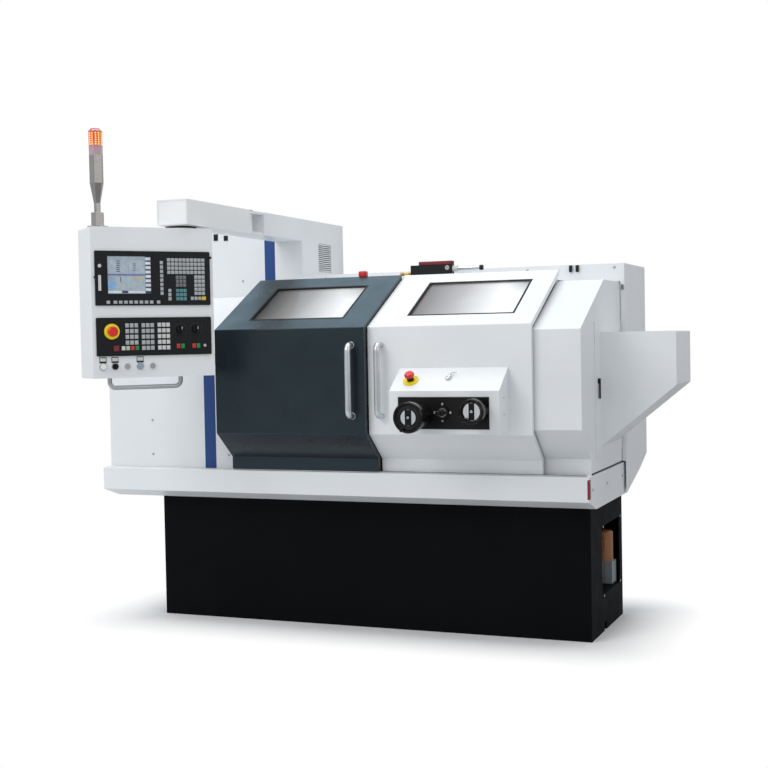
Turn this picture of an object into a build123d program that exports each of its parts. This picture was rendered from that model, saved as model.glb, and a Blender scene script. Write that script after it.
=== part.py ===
from build123d import *
import os
from math import atan2, cos, degrees, hypot, pi, radians, sin, tan

# A flat-bed turning lathe in a full enclosure, in millimetres.
# X runs along the spindle towards the tailstock, Y runs from the operator to the back,
# and the origin is on the floor in the middle of the base.

# Clearances that every moving or seated piece takes
running_gap = 0.05
slide_gap = 0.15
seat_gap = 0.3
panel_gap = 3

# Base
base_length = 2000
base_depth = 596
base_height = 545
base_wall = 8
base_roof = 16
base_floor = 12
end_opening_width = 342
end_opening_height = 290
end_opening_y = 72
end_opening_z = 155
floor_notch_width = 40
floor_notch_height = 35
floor_notch_y = -46

# Chip tray
tray_left = -1241
tray_right = 1025
tray_front = -422
tray_back = 285.7
tray_top = 685
tray_lip_height = 100
tray_sheet = 4
tray_rim = 62
tray_end_rim = 24

# Sheet metal of the enclosure
sheet = 3
bend_radius = 5
flange = 22

# Sliding doors: the dark one runs in front of the light one
door_left = -569
door_meeting = 128
door_right = 826
door_crease_z = 1300
door_top_z = 1528
door_chin_z = 857
door_plinth_z = 745
door_foot_gap = 5
dark_front = -555
dark_top_y = -117
dark_plinth = -419
light_front = -521
light_top_y = -77
light_plinth = -385
door_top_flange = 40
dark_travel = 500
light_travel = 185

# Door windows, measured along the slope from the crease
dark_window_x = -218
dark_window_width = 444
dark_window_low = 86
dark_window_length = 313
light_window_x = 504
light_window_width = 458
light_window_low = 94
light_window_length = 317
window_frame = 8
window_depth = 13
glass_thickness = 5
glass_recess = 5

# Door handles
handle_bar = 13
handle_reach = 42
handle_low = 933
handle_high = 1226
handle_bend = 26
dark_handle_x = 70
light_handle_x = 186

# Door rails and guides
rail_width = 14
rail_height = 12
rail_drop = 8
guide_length = 36
guide_wall = 5
dark_guides = (-545, -410)
light_guides = (400, 760)

# Fixed panel at the tailstock end
panel_left = 829
panel_right = 1017
panel_front = -494
panel_crease_z = 1276
panel_top_y = -80
panel_top_z = 1479
panel_chin_z = 878
panel_plinth = -344
panel_plinth_z = 751
end_wall_back = 238

# Hinged end door with its hood
end_door_front = -264
end_door_back = 234
end_door_low = 751
end_door_high = 1306
hood_front = -166
hood_back = 182
hood_right = 1329
hood_top = 1260
hood_low_outer = 1042
hood_low_inner = 791
hood_sheet = 2.5

# Hinges of the end door and the cabinet door: barrels with a leaf on each side
hinge_radius = 6
hinge_length = 70
hinge_leaf = 3
end_hinge_y = 231.8
end_hinge_levels = (830, 1180)
cabinet_hinge_levels = (760, 1640)

# Latch of the end door: a flat lever that hangs from a low boss
latch_y = -214
latch_z = 1060
latch_radius = 11
latch_width = 14
latch_drop = 72
latch_boss = 4
latch_lever = 5

# Headstock cover
cover_right = -573
cover_front = -358
cover_crease_z = 1145
cover_back = 284
cover_top_z = 1471
bar_feed_radius = 56
chuck_clearance = 12

# Roof and rear guard
roof_z = 1482
roof_front = -112
guard_left = -545.7
guard_right = 1038
guard_front = 238
guard_back = 700
guard_top = 1562
guard_knee_y = 535
guard_knee_z = 631
guard_heel_z = 690
guard_toe_z = 563

# Door lock on the roof
lock_left = 102
lock_step_x = 142
lock_right = 299
lock_front = 60
lock_depth = 40
lock_step_height = 93
lock_height = 107
lock_bolt_height = 74
lock_sleeve = 24
lock_bolt = 127

# Electrical cabinet
cabinet_left = -1241
cabinet_right = -546
cabinet_front = 286
cabinet_back = 757
cabinet_low = 590
grille_y = 550
grille_z = 1663
grille_width = 152
grille_height = 140
grille_slats = 14

# Boom that carries the control pendant: it clears the cover, and its top is flush with the cabinet's
boom_x = -617
boom_width = 142
boom_height = 105
boom_clearance = 264
boom_low = cover_top_z + boom_clearance
cabinet_top = boom_low + boom_height
boom_wall = 4
boom_pivot_y = -180
boom_fixed_end = -112
boom_knuckle = 12
boom_pin = 15
arm_back = -248
arm_front = -800
pendant_pivot_y = -733
swivel_radius = 62
swivel_stem = 24

# Control pendant: its face is turned towards the operator
pendant_turn = 48.87
panel_width = 483
display_height = 220
keys_height = 155
panel_pitch = 49
panel_margin = 15
pendant_head = 97
pendant_foot = 89
pendant_depth = 198
pivot_across = 386
pivot_behind = 75
pendant_drop = 14
pendant_top = boom_low - pendant_drop
plate_thickness = 6
screen_width = 180
screen_height = 152
screen_left = 51
screen_top = -21

# Operating elements
estop_radius = 20
estop_collar = 31
estop_stem = 11
estop_travel = 5
box_estop_rise = 15
button_radius = 11
button_travel = 3
knob_radius = 17
knob_height = 19
knob_stem = 5
knob_skirt = 2
key_rise = 2.5

# Signal lamp
lamp_across = 33
lamp_behind = 62
lamp_flange = 42
lamp_collar = 26
lamp_neck = 13.5
lamp_body = 28.5
lamp_collar_top = 60
lamp_neck_top = 98
lamp_taper_top = 178
lamp_lens_low = 290
lamp_top = 398

# Handwheel box on the light door
box_left = 271
box_right = 730
box_front = -646
box_low = 870
box_edge_z = 1040
box_top_z = 1128
plate_left = 310
plate_right = 689
plate_low = 889
plate_high = 1016
wheel_z_x = 408
wheel_z_z = 943
wheel_z_radius = 61
boss_z_radius = 47
boss_z_length = 118
wheel_x_x = 644
wheel_x_z = 963
wheel_x_radius = 50
boss_x_radius = 30
boss_x_length = 52
wheel_thickness = 34
wheel_stem = 8
wheel_edge = 4
wheel_rim = 9
wheel_dish = 12
wheel_hub = 9
crank_inset = 12
crank_length = 30
crank_pin_radius = 4
crank_grip_radius = 8
joystick_x = 499
joystick_z = 955
socket_radius = 19
gimbal_seat = 4
gimbal_pin = 1.8

# Spindle line
spindle_z = 1080
spindle_bore = 26
journal_radius = 62
spindle_nose = -596
headstock_left = -895
headstock_right = -618
headstock_half = 165
headstock_top = 1245
chuck_radius = 100
chuck_length = 90
jaw_travel = 6
jaw_width = 26
spindle_pulley = 110
motor_pulley_radius = 60
pulley_left = -980
pulley_right = -905
motor_z = 300
motor_radius = 112
motor_length = 360
belt_thickness = 4
belt_grooves = 3
belt_groove_pitch = 20

# Bed and slides
bed_left = -895
bed_right = 940
bed_top = 850
bed_half = 160
way_rise = 15
way_y = 120
screw_y = -212
screw_z = 770
screw_radius = 16
screw_pitch = 10
saddle_left = -360
saddle_right = -40
saddle_front = -245
saddle_back = 330
saddle_top = 905
slide_left = -330
slide_right = -70
slide_front = -170
slide_back = 290
slide_top = 955
turret_y = 178
turret_radius = 112
turret_left = -395
turret_thickness = 52
turret_stations = 8
tool_reach = 26

# Tailstock
tail_left = 640
tail_right = 900
tail_half = 105
quill_radius = 30
quill_left = 602
centre_length = 56
tail_wheel_radius = 80

# Coolant tank on its shelf in the base, with a low sump for the pump
tank_left = 430
tank_right = 905
tank_width = 314
tank_low = 160
tank_high = 330
tank_sheet = 3
tank_baffle = 240
sump_right = 987
sump_width = 84
sump_high = 256
pump_radius = 38
pump_neck = 18
pump_flange = 8
pump_rim = 1.5
pump_height = 124

os.makedirs("parts", exist_ok=True)


def finish(part, name):
    part.label = name
    export_step(part, f"parts/{name}.step")


def folded(points, thickness):
    """Closes an open outline into a bent sheet, the second skin lying to the right of its run."""
    inner = []
    count = len(points)
    for i in range(count):
        here = points[i]
        before = points[max(i - 1, 0)]
        after = points[min(i + 1, count - 1)]
        a = atan2(here[1] - before[1], here[0] - before[0]) if i else None
        b = atan2(after[1] - here[1], after[0] - here[0]) if i < count - 1 else None
        a = b if a is None else a
        b = a if b is None else b
        half = (b - a) / 2
        turn = a + half - pi / 2
        reach = thickness / cos(half)
        inner.append((here[0] + reach * cos(turn), here[1] + reach * sin(turn)))
    return points + inner[::-1]


def along_x(points, start, end, mode=Mode.ADD):
    """Adds or cuts a prism whose section is given in (y, z)."""
    with BuildSketch(Plane.YZ.offset(start)) as section:
        with BuildLine():
            Polyline(points, close=True)
        make_face()
    extrude(section.sketch, amount=end - start, mode=mode)


def block(x, y, z, mode=Mode.ADD):
    """Adds or cuts a box from its lowest and highest x, y and z."""
    centre = [(pair[0] + pair[1]) / 2 for pair in (x, y, z)]
    with Locations(tuple(centre)):
        Box(x[1] - x[0], y[1] - y[0], z[1] - z[0], mode=mode)


def rod_x(start, end, y, z, radius, mode=Mode.ADD):
    with BuildSketch(Plane.YZ.offset(start)) as section:
        with Locations((y, z)):
            Circle(radius)
    extrude(section.sketch, amount=end - start, mode=mode)


def rod_z(x, y, start, end, radius, mode=Mode.ADD):
    with BuildSketch(Plane.XY.offset(start)) as section:
        with Locations((x, y)):
            Circle(radius)
    extrude(section.sketch, amount=end - start, mode=mode)


def front_plane(x, z, y):
    """A plane on a front face, looking at the operator, with its y axis up."""
    return Plane(origin=(x, y, z), x_dir=(1, 0, 0), z_dir=(0, -1, 0))


def slope_plane(front, crease, top_y, top_z):
    """A plane on a sloped door face, with its origin on the crease and its y axis up the slope."""
    run = top_y - front
    rise = top_z - crease
    length = hypot(run, rise)
    return Plane(origin=(0, front, crease), x_dir=(1, 0, 0), z_dir=(0, -rise / length, run / length))


# Base: a closed box stand with a service opening in its right end
with BuildPart() as base:
    Box(base_length, base_depth, base_height, align=(Align.CENTER, Align.CENTER, Align.MIN))
    half_length = base_length / 2
    half_depth = base_depth / 2
    block(
        (-half_length + base_wall, half_length - base_wall),
        (-half_depth + base_wall, half_depth - base_wall),
        (base_floor, base_height - base_roof),
        Mode.SUBTRACT,
    )
    with BuildSketch(Plane.YZ.offset(half_length)):
        with Locations((end_opening_y, end_opening_z + end_opening_height / 2)):
            RectangleRounded(end_opening_width, end_opening_height, base_wall)
    extrude(amount=-2 * base_wall, mode=Mode.SUBTRACT)
    block(
        (half_length - 2 * base_wall, half_length),
        (floor_notch_y - floor_notch_width / 2, floor_notch_y + floor_notch_width / 2),
        (0, floor_notch_height),
        Mode.SUBTRACT,
    )
    belt_slot = motor_pulley_radius + 6 * belt_thickness
    block(
        (pulley_left - base_wall, pulley_right + base_wall),
        (-belt_slot, belt_slot),
        (base_height - base_roof, base_height),
        Mode.SUBTRACT,
    )
    # Shelf behind the service opening, on which the coolant tank slides
    block(
        (tank_left, half_length - base_wall),
        (end_opening_y - end_opening_width / 2, half_depth - base_wall),
        (tank_low - seat_gap - base_wall, tank_low - seat_gap),
    )
    block(
        (headstock_left, headstock_left + motor_length),
        (-motor_radius / 2, motor_radius / 2),
        (base_floor, motor_z - motor_radius - base_wall),
    )
finish(base.part, "base")

# Chip tray: a folded pan with a sloping front underside and a turned-in rim
with BuildPart() as tray:
    fascia_low = tray_top - tray_lip_height
    half_depth = base_depth / 2
    pan = [
        (tray_back, tray_top),
        (tray_back, base_height),
        (-half_depth, base_height),
        (tray_front, fascia_low),
        (tray_front, tray_top),
        (tray_front + tray_rim, tray_top),
    ]
    along_x(folded(pan, tray_sheet), tray_left, tray_right)
    wall = pan[:5]
    along_x(wall, tray_left, tray_left + tray_sheet)
    along_x(wall, tray_right - tray_sheet, tray_right)
    block((tray_left, tray_left + tray_end_rim), (tray_front, tray_back), (tray_top - tray_sheet, tray_top))
    block((tray_right - tray_end_rim, tray_right), (tray_front, tray_back), (tray_top - tray_sheet, tray_top))
    block(
        (pulley_left - base_wall, pulley_right + base_wall),
        (-belt_slot, belt_slot),
        (base_height, base_height + tray_sheet),
        Mode.SUBTRACT,
    )
    fillet(tray.edges().filter_by(Axis.X).group_by(Axis.Y)[0], bend_radius - 2)
finish(tray.part, "tray")

# Cover over the headstock: a folded front and slope between two end walls
with BuildPart() as headstock_cover:
    skin = [(cover_front, tray_top), (cover_front, cover_crease_z), (cover_back, cover_top_z)]
    end_shape = skin + [(cover_back, tray_top)]
    along_x(folded(skin, sheet), tray_left, cover_right)
    fillet(headstock_cover.edges().filter_by(Axis.X).filter_by_position(
        Axis.Z, cover_crease_z - 1, cover_crease_z + 1), bend_radius)
    along_x(end_shape, tray_left, tray_left + sheet)
    along_x(end_shape, cover_right - sheet, cover_right)
    rod_x(tray_left, tray_left + sheet, 0, spindle_z, bar_feed_radius, Mode.SUBTRACT)
    rod_x(cover_right - sheet, cover_right, 0, spindle_z, chuck_radius + chuck_clearance, Mode.SUBTRACT)
    block(
        (cover_right - sheet, cover_right),
        (-bed_half - 10, bed_half + 10),
        (tray_top, bed_top + way_rise + 5),
        Mode.SUBTRACT,
    )
finish(headstock_cover.part, "headstock_cover")


def door_skin(front, plinth, top_y):
    """The bent section of a sliding door, from its foot over the slope to its top flange."""
    return [
        (plinth, tray_top + door_foot_gap),
        (plinth, door_plinth_z),
        (front, door_chin_z),
        (front, door_crease_z),
        (top_y, door_top_z),
        (top_y + door_top_flange, door_top_z),
    ]


def door_shell(part, points, left, right):
    """A folded door skin with turned-in edges, and rounded bends."""
    along_x(folded(points, sheet), left, right)
    for level in (door_chin_z, door_crease_z, door_top_z):
        bends = part.edges().filter_by(Axis.X).filter_by_position(Axis.Z, level - 0.5, level + 0.5)
        outer = bends.group_by(Axis.Y)[0]
        fillet(outer, bend_radius)
    for edge_start in (left, right - sheet):
        along_x(folded(points[:5], flange), edge_start, edge_start + sheet)


def window_hole(plane, x, width, low, length):
    """Cuts a window through a sloped face and gives it a deep frame behind the sheet."""
    with BuildSketch(plane.offset(-sheet)) as section:
        with Locations((x, low + length / 2)):
            Rectangle(width + 2 * window_frame, length + 2 * window_frame)
    extrude(section.sketch, amount=-window_depth)
    with BuildSketch(plane) as section:
        with Locations((x, low + length / 2)):
            Rectangle(width, length)
    extrude(section.sketch, amount=-sheet - window_depth, mode=Mode.SUBTRACT)


def hung_rail(left, right, top_y):
    """The guide rail under a door's top flange, on a thin web."""
    centre = top_y + door_top_flange / 2
    web = rail_width / 4
    rail_top = door_top_z - sheet - rail_drop
    block((left, right), (centre - web, centre + web), (rail_top, door_top_z - sheet))
    block((left, right), (centre - rail_width / 2, centre + rail_width / 2), (rail_top - rail_height, rail_top))


dark_right = door_meeting - panel_gap / 2
light_left = door_meeting + panel_gap / 2
dark_slope = slope_plane(dark_front, door_crease_z, dark_top_y, door_top_z)
light_slope = slope_plane(light_front, door_crease_z, light_top_y, door_top_z)

# Dark door: slides to the left over the headstock cover
with BuildPart() as dark_door:
    dark_points = door_skin(dark_front, dark_plinth, dark_top_y)
    door_shell(dark_door, dark_points, door_left, dark_right)
    window_hole(dark_slope, dark_window_x, dark_window_width, dark_window_low, dark_window_length)
    hung_rail(door_left + flange, dark_right - flange, dark_top_y)
finish(dark_door.part, "dark_door")

# Light door: slides to the right over the fixed end panel
with BuildPart() as light_door:
    light_points = door_skin(light_front, light_plinth, light_top_y)
    door_shell(light_door, light_points, light_left, door_right)
    window_hole(light_slope, light_window_x, light_window_width, light_window_low, light_window_length)
    hung_rail(light_left + flange, door_right - flange, light_top_y)
finish(light_door.part, "light_door")


def pane(plane, x, width, low, length):
    with BuildSketch(plane.offset(-sheet - glass_recess)) as section:
        with Locations((x, low + length / 2)):
            Rectangle(width - 2 * seat_gap, length - 2 * seat_gap)
    extrude(section.sketch, amount=-glass_thickness)


with BuildPart() as dark_door_window:
    pane(dark_slope, dark_window_x, dark_window_width, dark_window_low, dark_window_length)
finish(dark_door_window.part, "dark_door_window")

with BuildPart() as light_door_window:
    pane(light_slope, light_window_x, light_window_width, light_window_low, light_window_length)
finish(light_door_window.part, "light_door_window")


def bow_handle(x, face):
    """A tube handle whose ends curve into the door."""
    with BuildLine() as path:
        FilletPolyline(
            (x, face, handle_low),
            (x, face - handle_reach, handle_low),
            (x, face - handle_reach, handle_high),
            (x, face, handle_high),
            radius=handle_bend,
        )
    with BuildSketch(Plane(origin=path.line @ 0, z_dir=path.line % 0)) as section:
        Circle(handle_bar)
    sweep(section.sketch, path=path.line)


with BuildPart() as dark_door_handle:
    bow_handle(dark_handle_x, dark_front)
finish(dark_door_handle.part, "dark_door_handle")

with BuildPart() as light_door_handle:
    bow_handle(light_handle_x, light_front)
finish(light_door_handle.part, "light_door_handle")

# Fixed panel at the right end, with the end wall and its doorway
with BuildPart() as right_end_panel:
    skin = [
        (panel_plinth, tray_top),
        (panel_plinth, panel_plinth_z),
        (panel_front, panel_chin_z),
        (panel_front, panel_crease_z),
        (panel_top_y, panel_top_z),
        (end_wall_back - sheet, panel_top_z),
    ]
    along_x(folded(skin, sheet), panel_left, panel_right)
    for level in (panel_chin_z, panel_crease_z):
        bends = right_end_panel.edges().filter_by(Axis.X).filter_by_position(Axis.Z, level - 0.5, level + 0.5)
        fillet(bends.group_by(Axis.Y)[0], bend_radius)
    along_x(skin + [(end_wall_back - sheet, tray_top)], panel_right - sheet, panel_right)
    block(
        (panel_right - 2 * sheet, panel_right),
        (end_door_front + flange, end_door_back - flange),
        (end_door_low + flange, end_door_high - flange),
        Mode.SUBTRACT,
    )
finish(right_end_panel.part, "right_end_panel")

# Hinged end door: a flat panel with a hood that bulges over the end of the bed
with BuildPart() as end_door:
    face_out = panel_right + seat_gap
    block(
        (face_out, face_out + sheet),
        (end_door_front, end_door_back),
        (end_door_low, end_door_high),
    )
    hood = [
        (face_out + sheet, hood_low_inner),
        (hood_right, hood_low_outer),
        (hood_right, hood_top),
        (face_out + sheet, hood_top),
    ]
    hood_plane = Plane(origin=(0, hood_front, 0), x_dir=(1, 0, 0), z_dir=(0, -1, 0))
    with BuildSketch(hood_plane):
        with BuildLine():
            Polyline(hood, close=True)
        make_face()
    extrude(amount=hood_front - hood_back)
    fillet(end_door.edges().filter_by(Axis.Y).group_by(Axis.X)[-1], bend_radius)
    with BuildSketch(hood_plane.offset(-hood_sheet)):
        with BuildLine():
            Polyline(hood, close=True)
        make_face()
        offset(amount=-hood_sheet, kind=Kind.INTERSECTION, mode=Mode.REPLACE)
    extrude(amount=hood_front - hood_back + 2 * hood_sheet, mode=Mode.SUBTRACT)
    block(
        (face_out - sheet, face_out + sheet + 2 * hood_sheet),
        (hood_front + hood_sheet, hood_back - hood_sheet),
        (hood_low_inner + 4 * hood_sheet, hood_top - hood_sheet),
        Mode.SUBTRACT,
    )
    end_hinge_x = face_out + sheet + hinge_radius + slide_gap
    for level in end_hinge_levels:
        rod_z(end_hinge_x, end_hinge_y, level, level + hinge_length / 2, hinge_radius)
        block(
            (face_out + sheet, face_out + sheet + hinge_leaf),
            (end_hinge_y - 5 * hinge_radius, end_hinge_y),
            (level, level + hinge_length / 2),
        )
        rod_z(end_hinge_x, end_hinge_y, level + hinge_length / 2, level + hinge_length, hinge_radius / 2)
finish(end_door.part, "end_door")

# Latch of the end door
with BuildPart() as end_door_latch:
    latch_face = face_out + sheet + slide_gap
    rod_x(latch_face, latch_face + latch_boss, latch_y, latch_z, latch_radius)
    with BuildSketch(Plane.YZ.offset(latch_face + latch_boss)):
        with Locations((latch_y, latch_z - (latch_drop - latch_radius) / 2)):
            Rectangle(latch_width, latch_drop + latch_radius)
    extrude(amount=latch_lever)
finish(end_door_latch.part, "end_door_latch")

# Roof behind the doors, with the guide blocks in which the door rails run
with BuildPart() as enclosure_roof:
    roof_right = panel_left - seat_gap
    skin = [(roof_front, roof_z - 42), (roof_front, roof_z + sheet), (guard_front - seat_gap, roof_z + sheet)]
    along_x(folded(skin, sheet), door_left, roof_right)
    gusset_low = cover_crease_z + (roof_front - cover_front) * (cover_top_z - cover_crease_z) / (
        cover_back - cover_front)
    gusset_high = cover_crease_z + (guard_front - cover_front) * (cover_top_z - cover_crease_z) / (
        cover_back - cover_front)
    along_x(
        [
            (roof_front, gusset_low),
            (roof_front, roof_z + sheet),
            (guard_front - seat_gap, roof_z + sheet),
            (guard_front - seat_gap, gusset_high),
        ],
        door_left - sheet,
        door_left,
    )
    for centre, places in ((dark_top_y, dark_guides), (light_top_y, light_guides)):
        middle = centre + door_top_flange / 2
        rail_low = door_top_z - sheet - rail_drop - rail_height
        for x in places:
            block(
                (x - guide_length / 2, x + guide_length / 2),
                (middle - rail_width / 2 - guide_wall, middle + rail_width / 2 + guide_wall),
                (roof_z + sheet, rail_low + rail_height),
            )
            block(
                (x - guide_length / 2, x + guide_length / 2),
                (middle - rail_width / 2 - slide_gap, middle + rail_width / 2 + slide_gap),
                (rail_low - slide_gap, rail_low + rail_height),
                Mode.SUBTRACT,
            )
finish(enclosure_roof.part, "enclosure_roof")

# Rear guard: the deep trough behind the slides
with BuildPart() as rear_guard:
    trough = [
        (tray_back + seat_gap, tray_top - 25),
        (tray_back + seat_gap, guard_toe_z),
        (guard_knee_y, guard_knee_z),
        (guard_back, guard_heel_z),
        (guard_back, guard_top),
        (guard_front, guard_top),
        (guard_front, roof_z),
    ]
    along_x(folded(trough[::-1], sheet), guard_left, guard_right)
    side = [
        (guard_front, guard_top),
        (guard_back, guard_top),
        (guard_back, guard_heel_z),
        (guard_knee_y, guard_knee_z),
        (tray_back + seat_gap, guard_toe_z),
        (tray_back + seat_gap, tray_top + 2 * sheet),
        (guard_front, tray_top + 2 * sheet),
    ]
    along_x(side, guard_left, guard_left + sheet)
    along_x(side, guard_right - sheet, guard_right)
    block(
        (panel_right + sheet, guard_right),
        (guard_front, guard_front + sheet),
        (tray_top + 2 * sheet, guard_top),
    )
    toe = [
        (guard_front, tray_top + 2 * sheet),
        (tray_back + sheet, tray_top + 2 * sheet),
        (tray_back + sheet, guard_toe_z),
        (guard_front, guard_toe_z - 12),
    ]
    along_x(toe, guard_right - sheet, guard_right)
    for level in end_hinge_levels:
        upper = (level + hinge_length / 2 + slide_gap, level + hinge_length)
        rod_z(end_hinge_x, end_hinge_y, upper[0], upper[1], hinge_radius)
        block((end_hinge_x, end_hinge_x + hinge_radius), (end_hinge_y, guard_front), upper)
        rod_z(end_hinge_x, end_hinge_y, upper[0], upper[1], hinge_radius / 2 + running_gap, Mode.SUBTRACT)
finish(rear_guard.part, "rear_guard")

# Electrical cabinet with its louvres and the fixed end of the boom
with BuildPart() as electrical_cabinet:
    block((cabinet_left, cabinet_right), (cabinet_front, cabinet_back), (cabinet_low, cabinet_top))
    block(
        (cabinet_left + sheet, cabinet_right - sheet),
        (cabinet_front + sheet, cabinet_back),
        (cabinet_low + sheet, cabinet_top - sheet),
        Mode.SUBTRACT,
    )
    rim = 24
    block(
        (cabinet_left, cabinet_right), (cabinet_back - sheet, cabinet_back), (cabinet_low, cabinet_top)
    )
    block(
        (cabinet_left + rim, cabinet_right - rim),
        (cabinet_back - 2 * sheet, cabinet_back),
        (cabinet_low + rim, cabinet_top - rim),
        Mode.SUBTRACT,
    )
    block(
        (cabinet_right - sheet, cabinet_right),
        (grille_y - grille_width / 2, grille_y + grille_width / 2),
        (grille_z - grille_height / 2, grille_z + grille_height / 2),
        Mode.SUBTRACT,
    )
    pitch = grille_height / grille_slats
    slat = [
        (cabinet_right - sheet + 0.5, 0),
        (cabinet_right + 2, -0.6 * pitch),
        (cabinet_right + 2, -0.76 * pitch),
        (cabinet_right - sheet + 0.5, -0.2 * pitch),
    ]
    for i in range(grille_slats):
        level = grille_z + grille_height / 2 - (i + 0.12) * pitch
        grille_end = grille_y + grille_width / 2 + 1
        with BuildSketch(Plane(origin=(0, grille_end, level), x_dir=(1, 0, 0), z_dir=(0, -1, 0))):
            with BuildLine():
                Polyline(slat, close=True)
            make_face()
        extrude(amount=grille_width + 2)
    # Mounting plate with the drive modules, seen with the door open
    plate_y = cabinet_front + 40
    block((cabinet_left + 60, cabinet_right - 60), (plate_y, plate_y + sheet), (cabinet_low + 60, cabinet_top - 60))
    for corner_x in (cabinet_left + 80, cabinet_right - 80):
        for corner_z in (cabinet_low + 90, cabinet_top - 90):
            block((corner_x - 8, corner_x + 8), (cabinet_front + sheet, plate_y), (corner_z - 8, corner_z + 8))
    for i in range(5):
        module_left = cabinet_left + 90 + i * 100
        block((module_left, module_left + 80), (plate_y + sheet, plate_y + 220), (1180, 1560))
    for i in range(8):
        module_left = cabinet_left + 90 + i * 62
        block((module_left, module_left + 50), (plate_y + sheet, plate_y + 90), (780, 900))
    # Boom root: a square tube with a fork for the arm
    boom = (boom_x - boom_width / 2, boom_x + boom_width / 2)
    block(boom, (boom_fixed_end, cabinet_front), (boom_low, cabinet_top))
    block(
        (boom[0] + boom_wall, boom[1] - boom_wall),
        (boom_fixed_end + boom_wall, cabinet_front - boom_wall),
        (boom_low + boom_wall, cabinet_top - boom_wall),
        Mode.SUBTRACT,
    )
    knuckle_radius = boom_width / 2 - 6
    for low in (boom_low, cabinet_top - boom_knuckle):
        with BuildSketch(Plane.XY.offset(low)):
            with Locations((boom_x, boom_pivot_y)):
                Circle(knuckle_radius)
            with Locations((boom_x, (boom_pivot_y + boom_fixed_end) / 2)):
                Rectangle(2 * knuckle_radius, boom_fixed_end - boom_pivot_y)
        extrude(amount=boom_knuckle)
    rod_z(boom_x, boom_pivot_y, boom_low + boom_knuckle, cabinet_top - boom_knuckle, boom_pin)
    # Fixed halves of the rear door's hinges
    cabinet_hinge_x = cabinet_left - hinge_radius - slide_gap
    cabinet_hinge_y = cabinet_back + seat_gap + flange / 2
    for level in cabinet_hinge_levels:
        upper = (level + hinge_length / 2 + slide_gap, level + hinge_length)
        rod_z(cabinet_hinge_x, cabinet_hinge_y, upper[0], upper[1], hinge_radius)
        block((cabinet_left - 2 * hinge_leaf, cabinet_left), (cabinet_back - 40, cabinet_back - sheet), upper)
        block((cabinet_left - 2 * hinge_leaf, cabinet_left - hinge_leaf), (cabinet_back - 40, cabinet_hinge_y), upper)
        rod_z(cabinet_hinge_x, cabinet_hinge_y, upper[0], upper[1], hinge_radius / 2 + running_gap, Mode.SUBTRACT)
finish(electrical_cabinet.part, "electrical_cabinet")

# Cabinet door on the back, with a turned-in edge
with BuildPart() as cabinet_door:
    door_y = cabinet_back + seat_gap
    block((cabinet_left, cabinet_right), (door_y, door_y + flange), (cabinet_low, cabinet_top))
    block(
        (cabinet_left + sheet, cabinet_right - sheet),
        (door_y, door_y + flange - sheet),
        (cabinet_low + sheet, cabinet_top - sheet),
        Mode.SUBTRACT,
    )
    fillet(cabinet_door.edges().group_by(Axis.Y)[-1], 2)
    for level in cabinet_hinge_levels:
        rod_z(cabinet_hinge_x, cabinet_hinge_y, level, level + hinge_length / 2, hinge_radius)
        block(
            (cabinet_left - hinge_leaf, cabinet_left),
            (cabinet_hinge_y, door_y + flange - sheet),
            (level, level + hinge_length / 2),
        )
        rod_z(cabinet_hinge_x, cabinet_hinge_y, level + hinge_length / 2, level + hinge_length, hinge_radius / 2)
finish(cabinet_door.part, "cabinet_door")

latch_x = cabinet_right - 45
with BuildPart() as cabinet_latch:
    start = door_y + flange + slide_gap
    with BuildSketch(Plane(origin=(latch_x, start, 1210), x_dir=(-1, 0, 0), z_dir=(0, 1, 0))):
        Circle(16)
    extrude(amount=12)
    with BuildSketch(Plane(origin=(latch_x, start + 12, 1210), x_dir=(-1, 0, 0), z_dir=(0, 1, 0))):
        with Locations((0, -45)):
            RectangleRounded(22, 122, 10)
    extrude(amount=14)
    chamfer(cabinet_latch.edges().group_by(Axis.Y)[-1], 3)
finish(cabinet_latch.part, "cabinet_latch")

switch_x = cabinet_left + 180
switch_z = 1560
with BuildPart() as main_switch:
    with BuildSketch(Plane(origin=(switch_x, start, switch_z), x_dir=(-1, 0, 0), z_dir=(0, 1, 0))):
        Circle(33)
    extrude(amount=8)
    with BuildSketch(Plane(origin=(switch_x, start + 8, switch_z), x_dir=(-1, 0, 0), z_dir=(0, 1, 0))):
        RectangleRounded(18, 62, 7)
    extrude(amount=22)
    chamfer(main_switch.edges().group_by(Axis.Y)[-1], 2)
finish(main_switch.part, "main_switch")

# Swinging arm of the boom: a square tube with a tongue between the fork plates
with BuildPart() as swing_arm:
    block(boom, (arm_front, arm_back), (boom_low, cabinet_top))
    fillet(swing_arm.edges().filter_by(Axis.Z).group_by(Axis.Y)[0], 6)
    block(
        (boom[0] + boom_wall, boom[1] - boom_wall),
        (arm_front + boom_wall, arm_back - boom_wall),
        (boom_low + boom_wall, cabinet_top - boom_wall),
        Mode.SUBTRACT,
    )
    tongue_low = boom_low + boom_knuckle + slide_gap
    tongue_high = cabinet_top - boom_knuckle - slide_gap
    tongue_radius = 40
    with BuildSketch(Plane.XY.offset(tongue_low)):
        with Locations((boom_x, boom_pivot_y)):
            Circle(tongue_radius)
        with Locations((boom_x, (boom_pivot_y + arm_back) / 2)):
            Rectangle(2 * tongue_radius, boom_pivot_y - arm_back)
    extrude(amount=tongue_high - tongue_low)
    rod_z(boom_x, boom_pivot_y, tongue_low, tongue_high, boom_pin + running_gap, Mode.SUBTRACT)
    rod_z(boom_x, pendant_pivot_y, boom_low, boom_low + boom_wall, swivel_stem + running_gap, Mode.SUBTRACT)
finish(swing_arm.part, "swing_arm")

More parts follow.
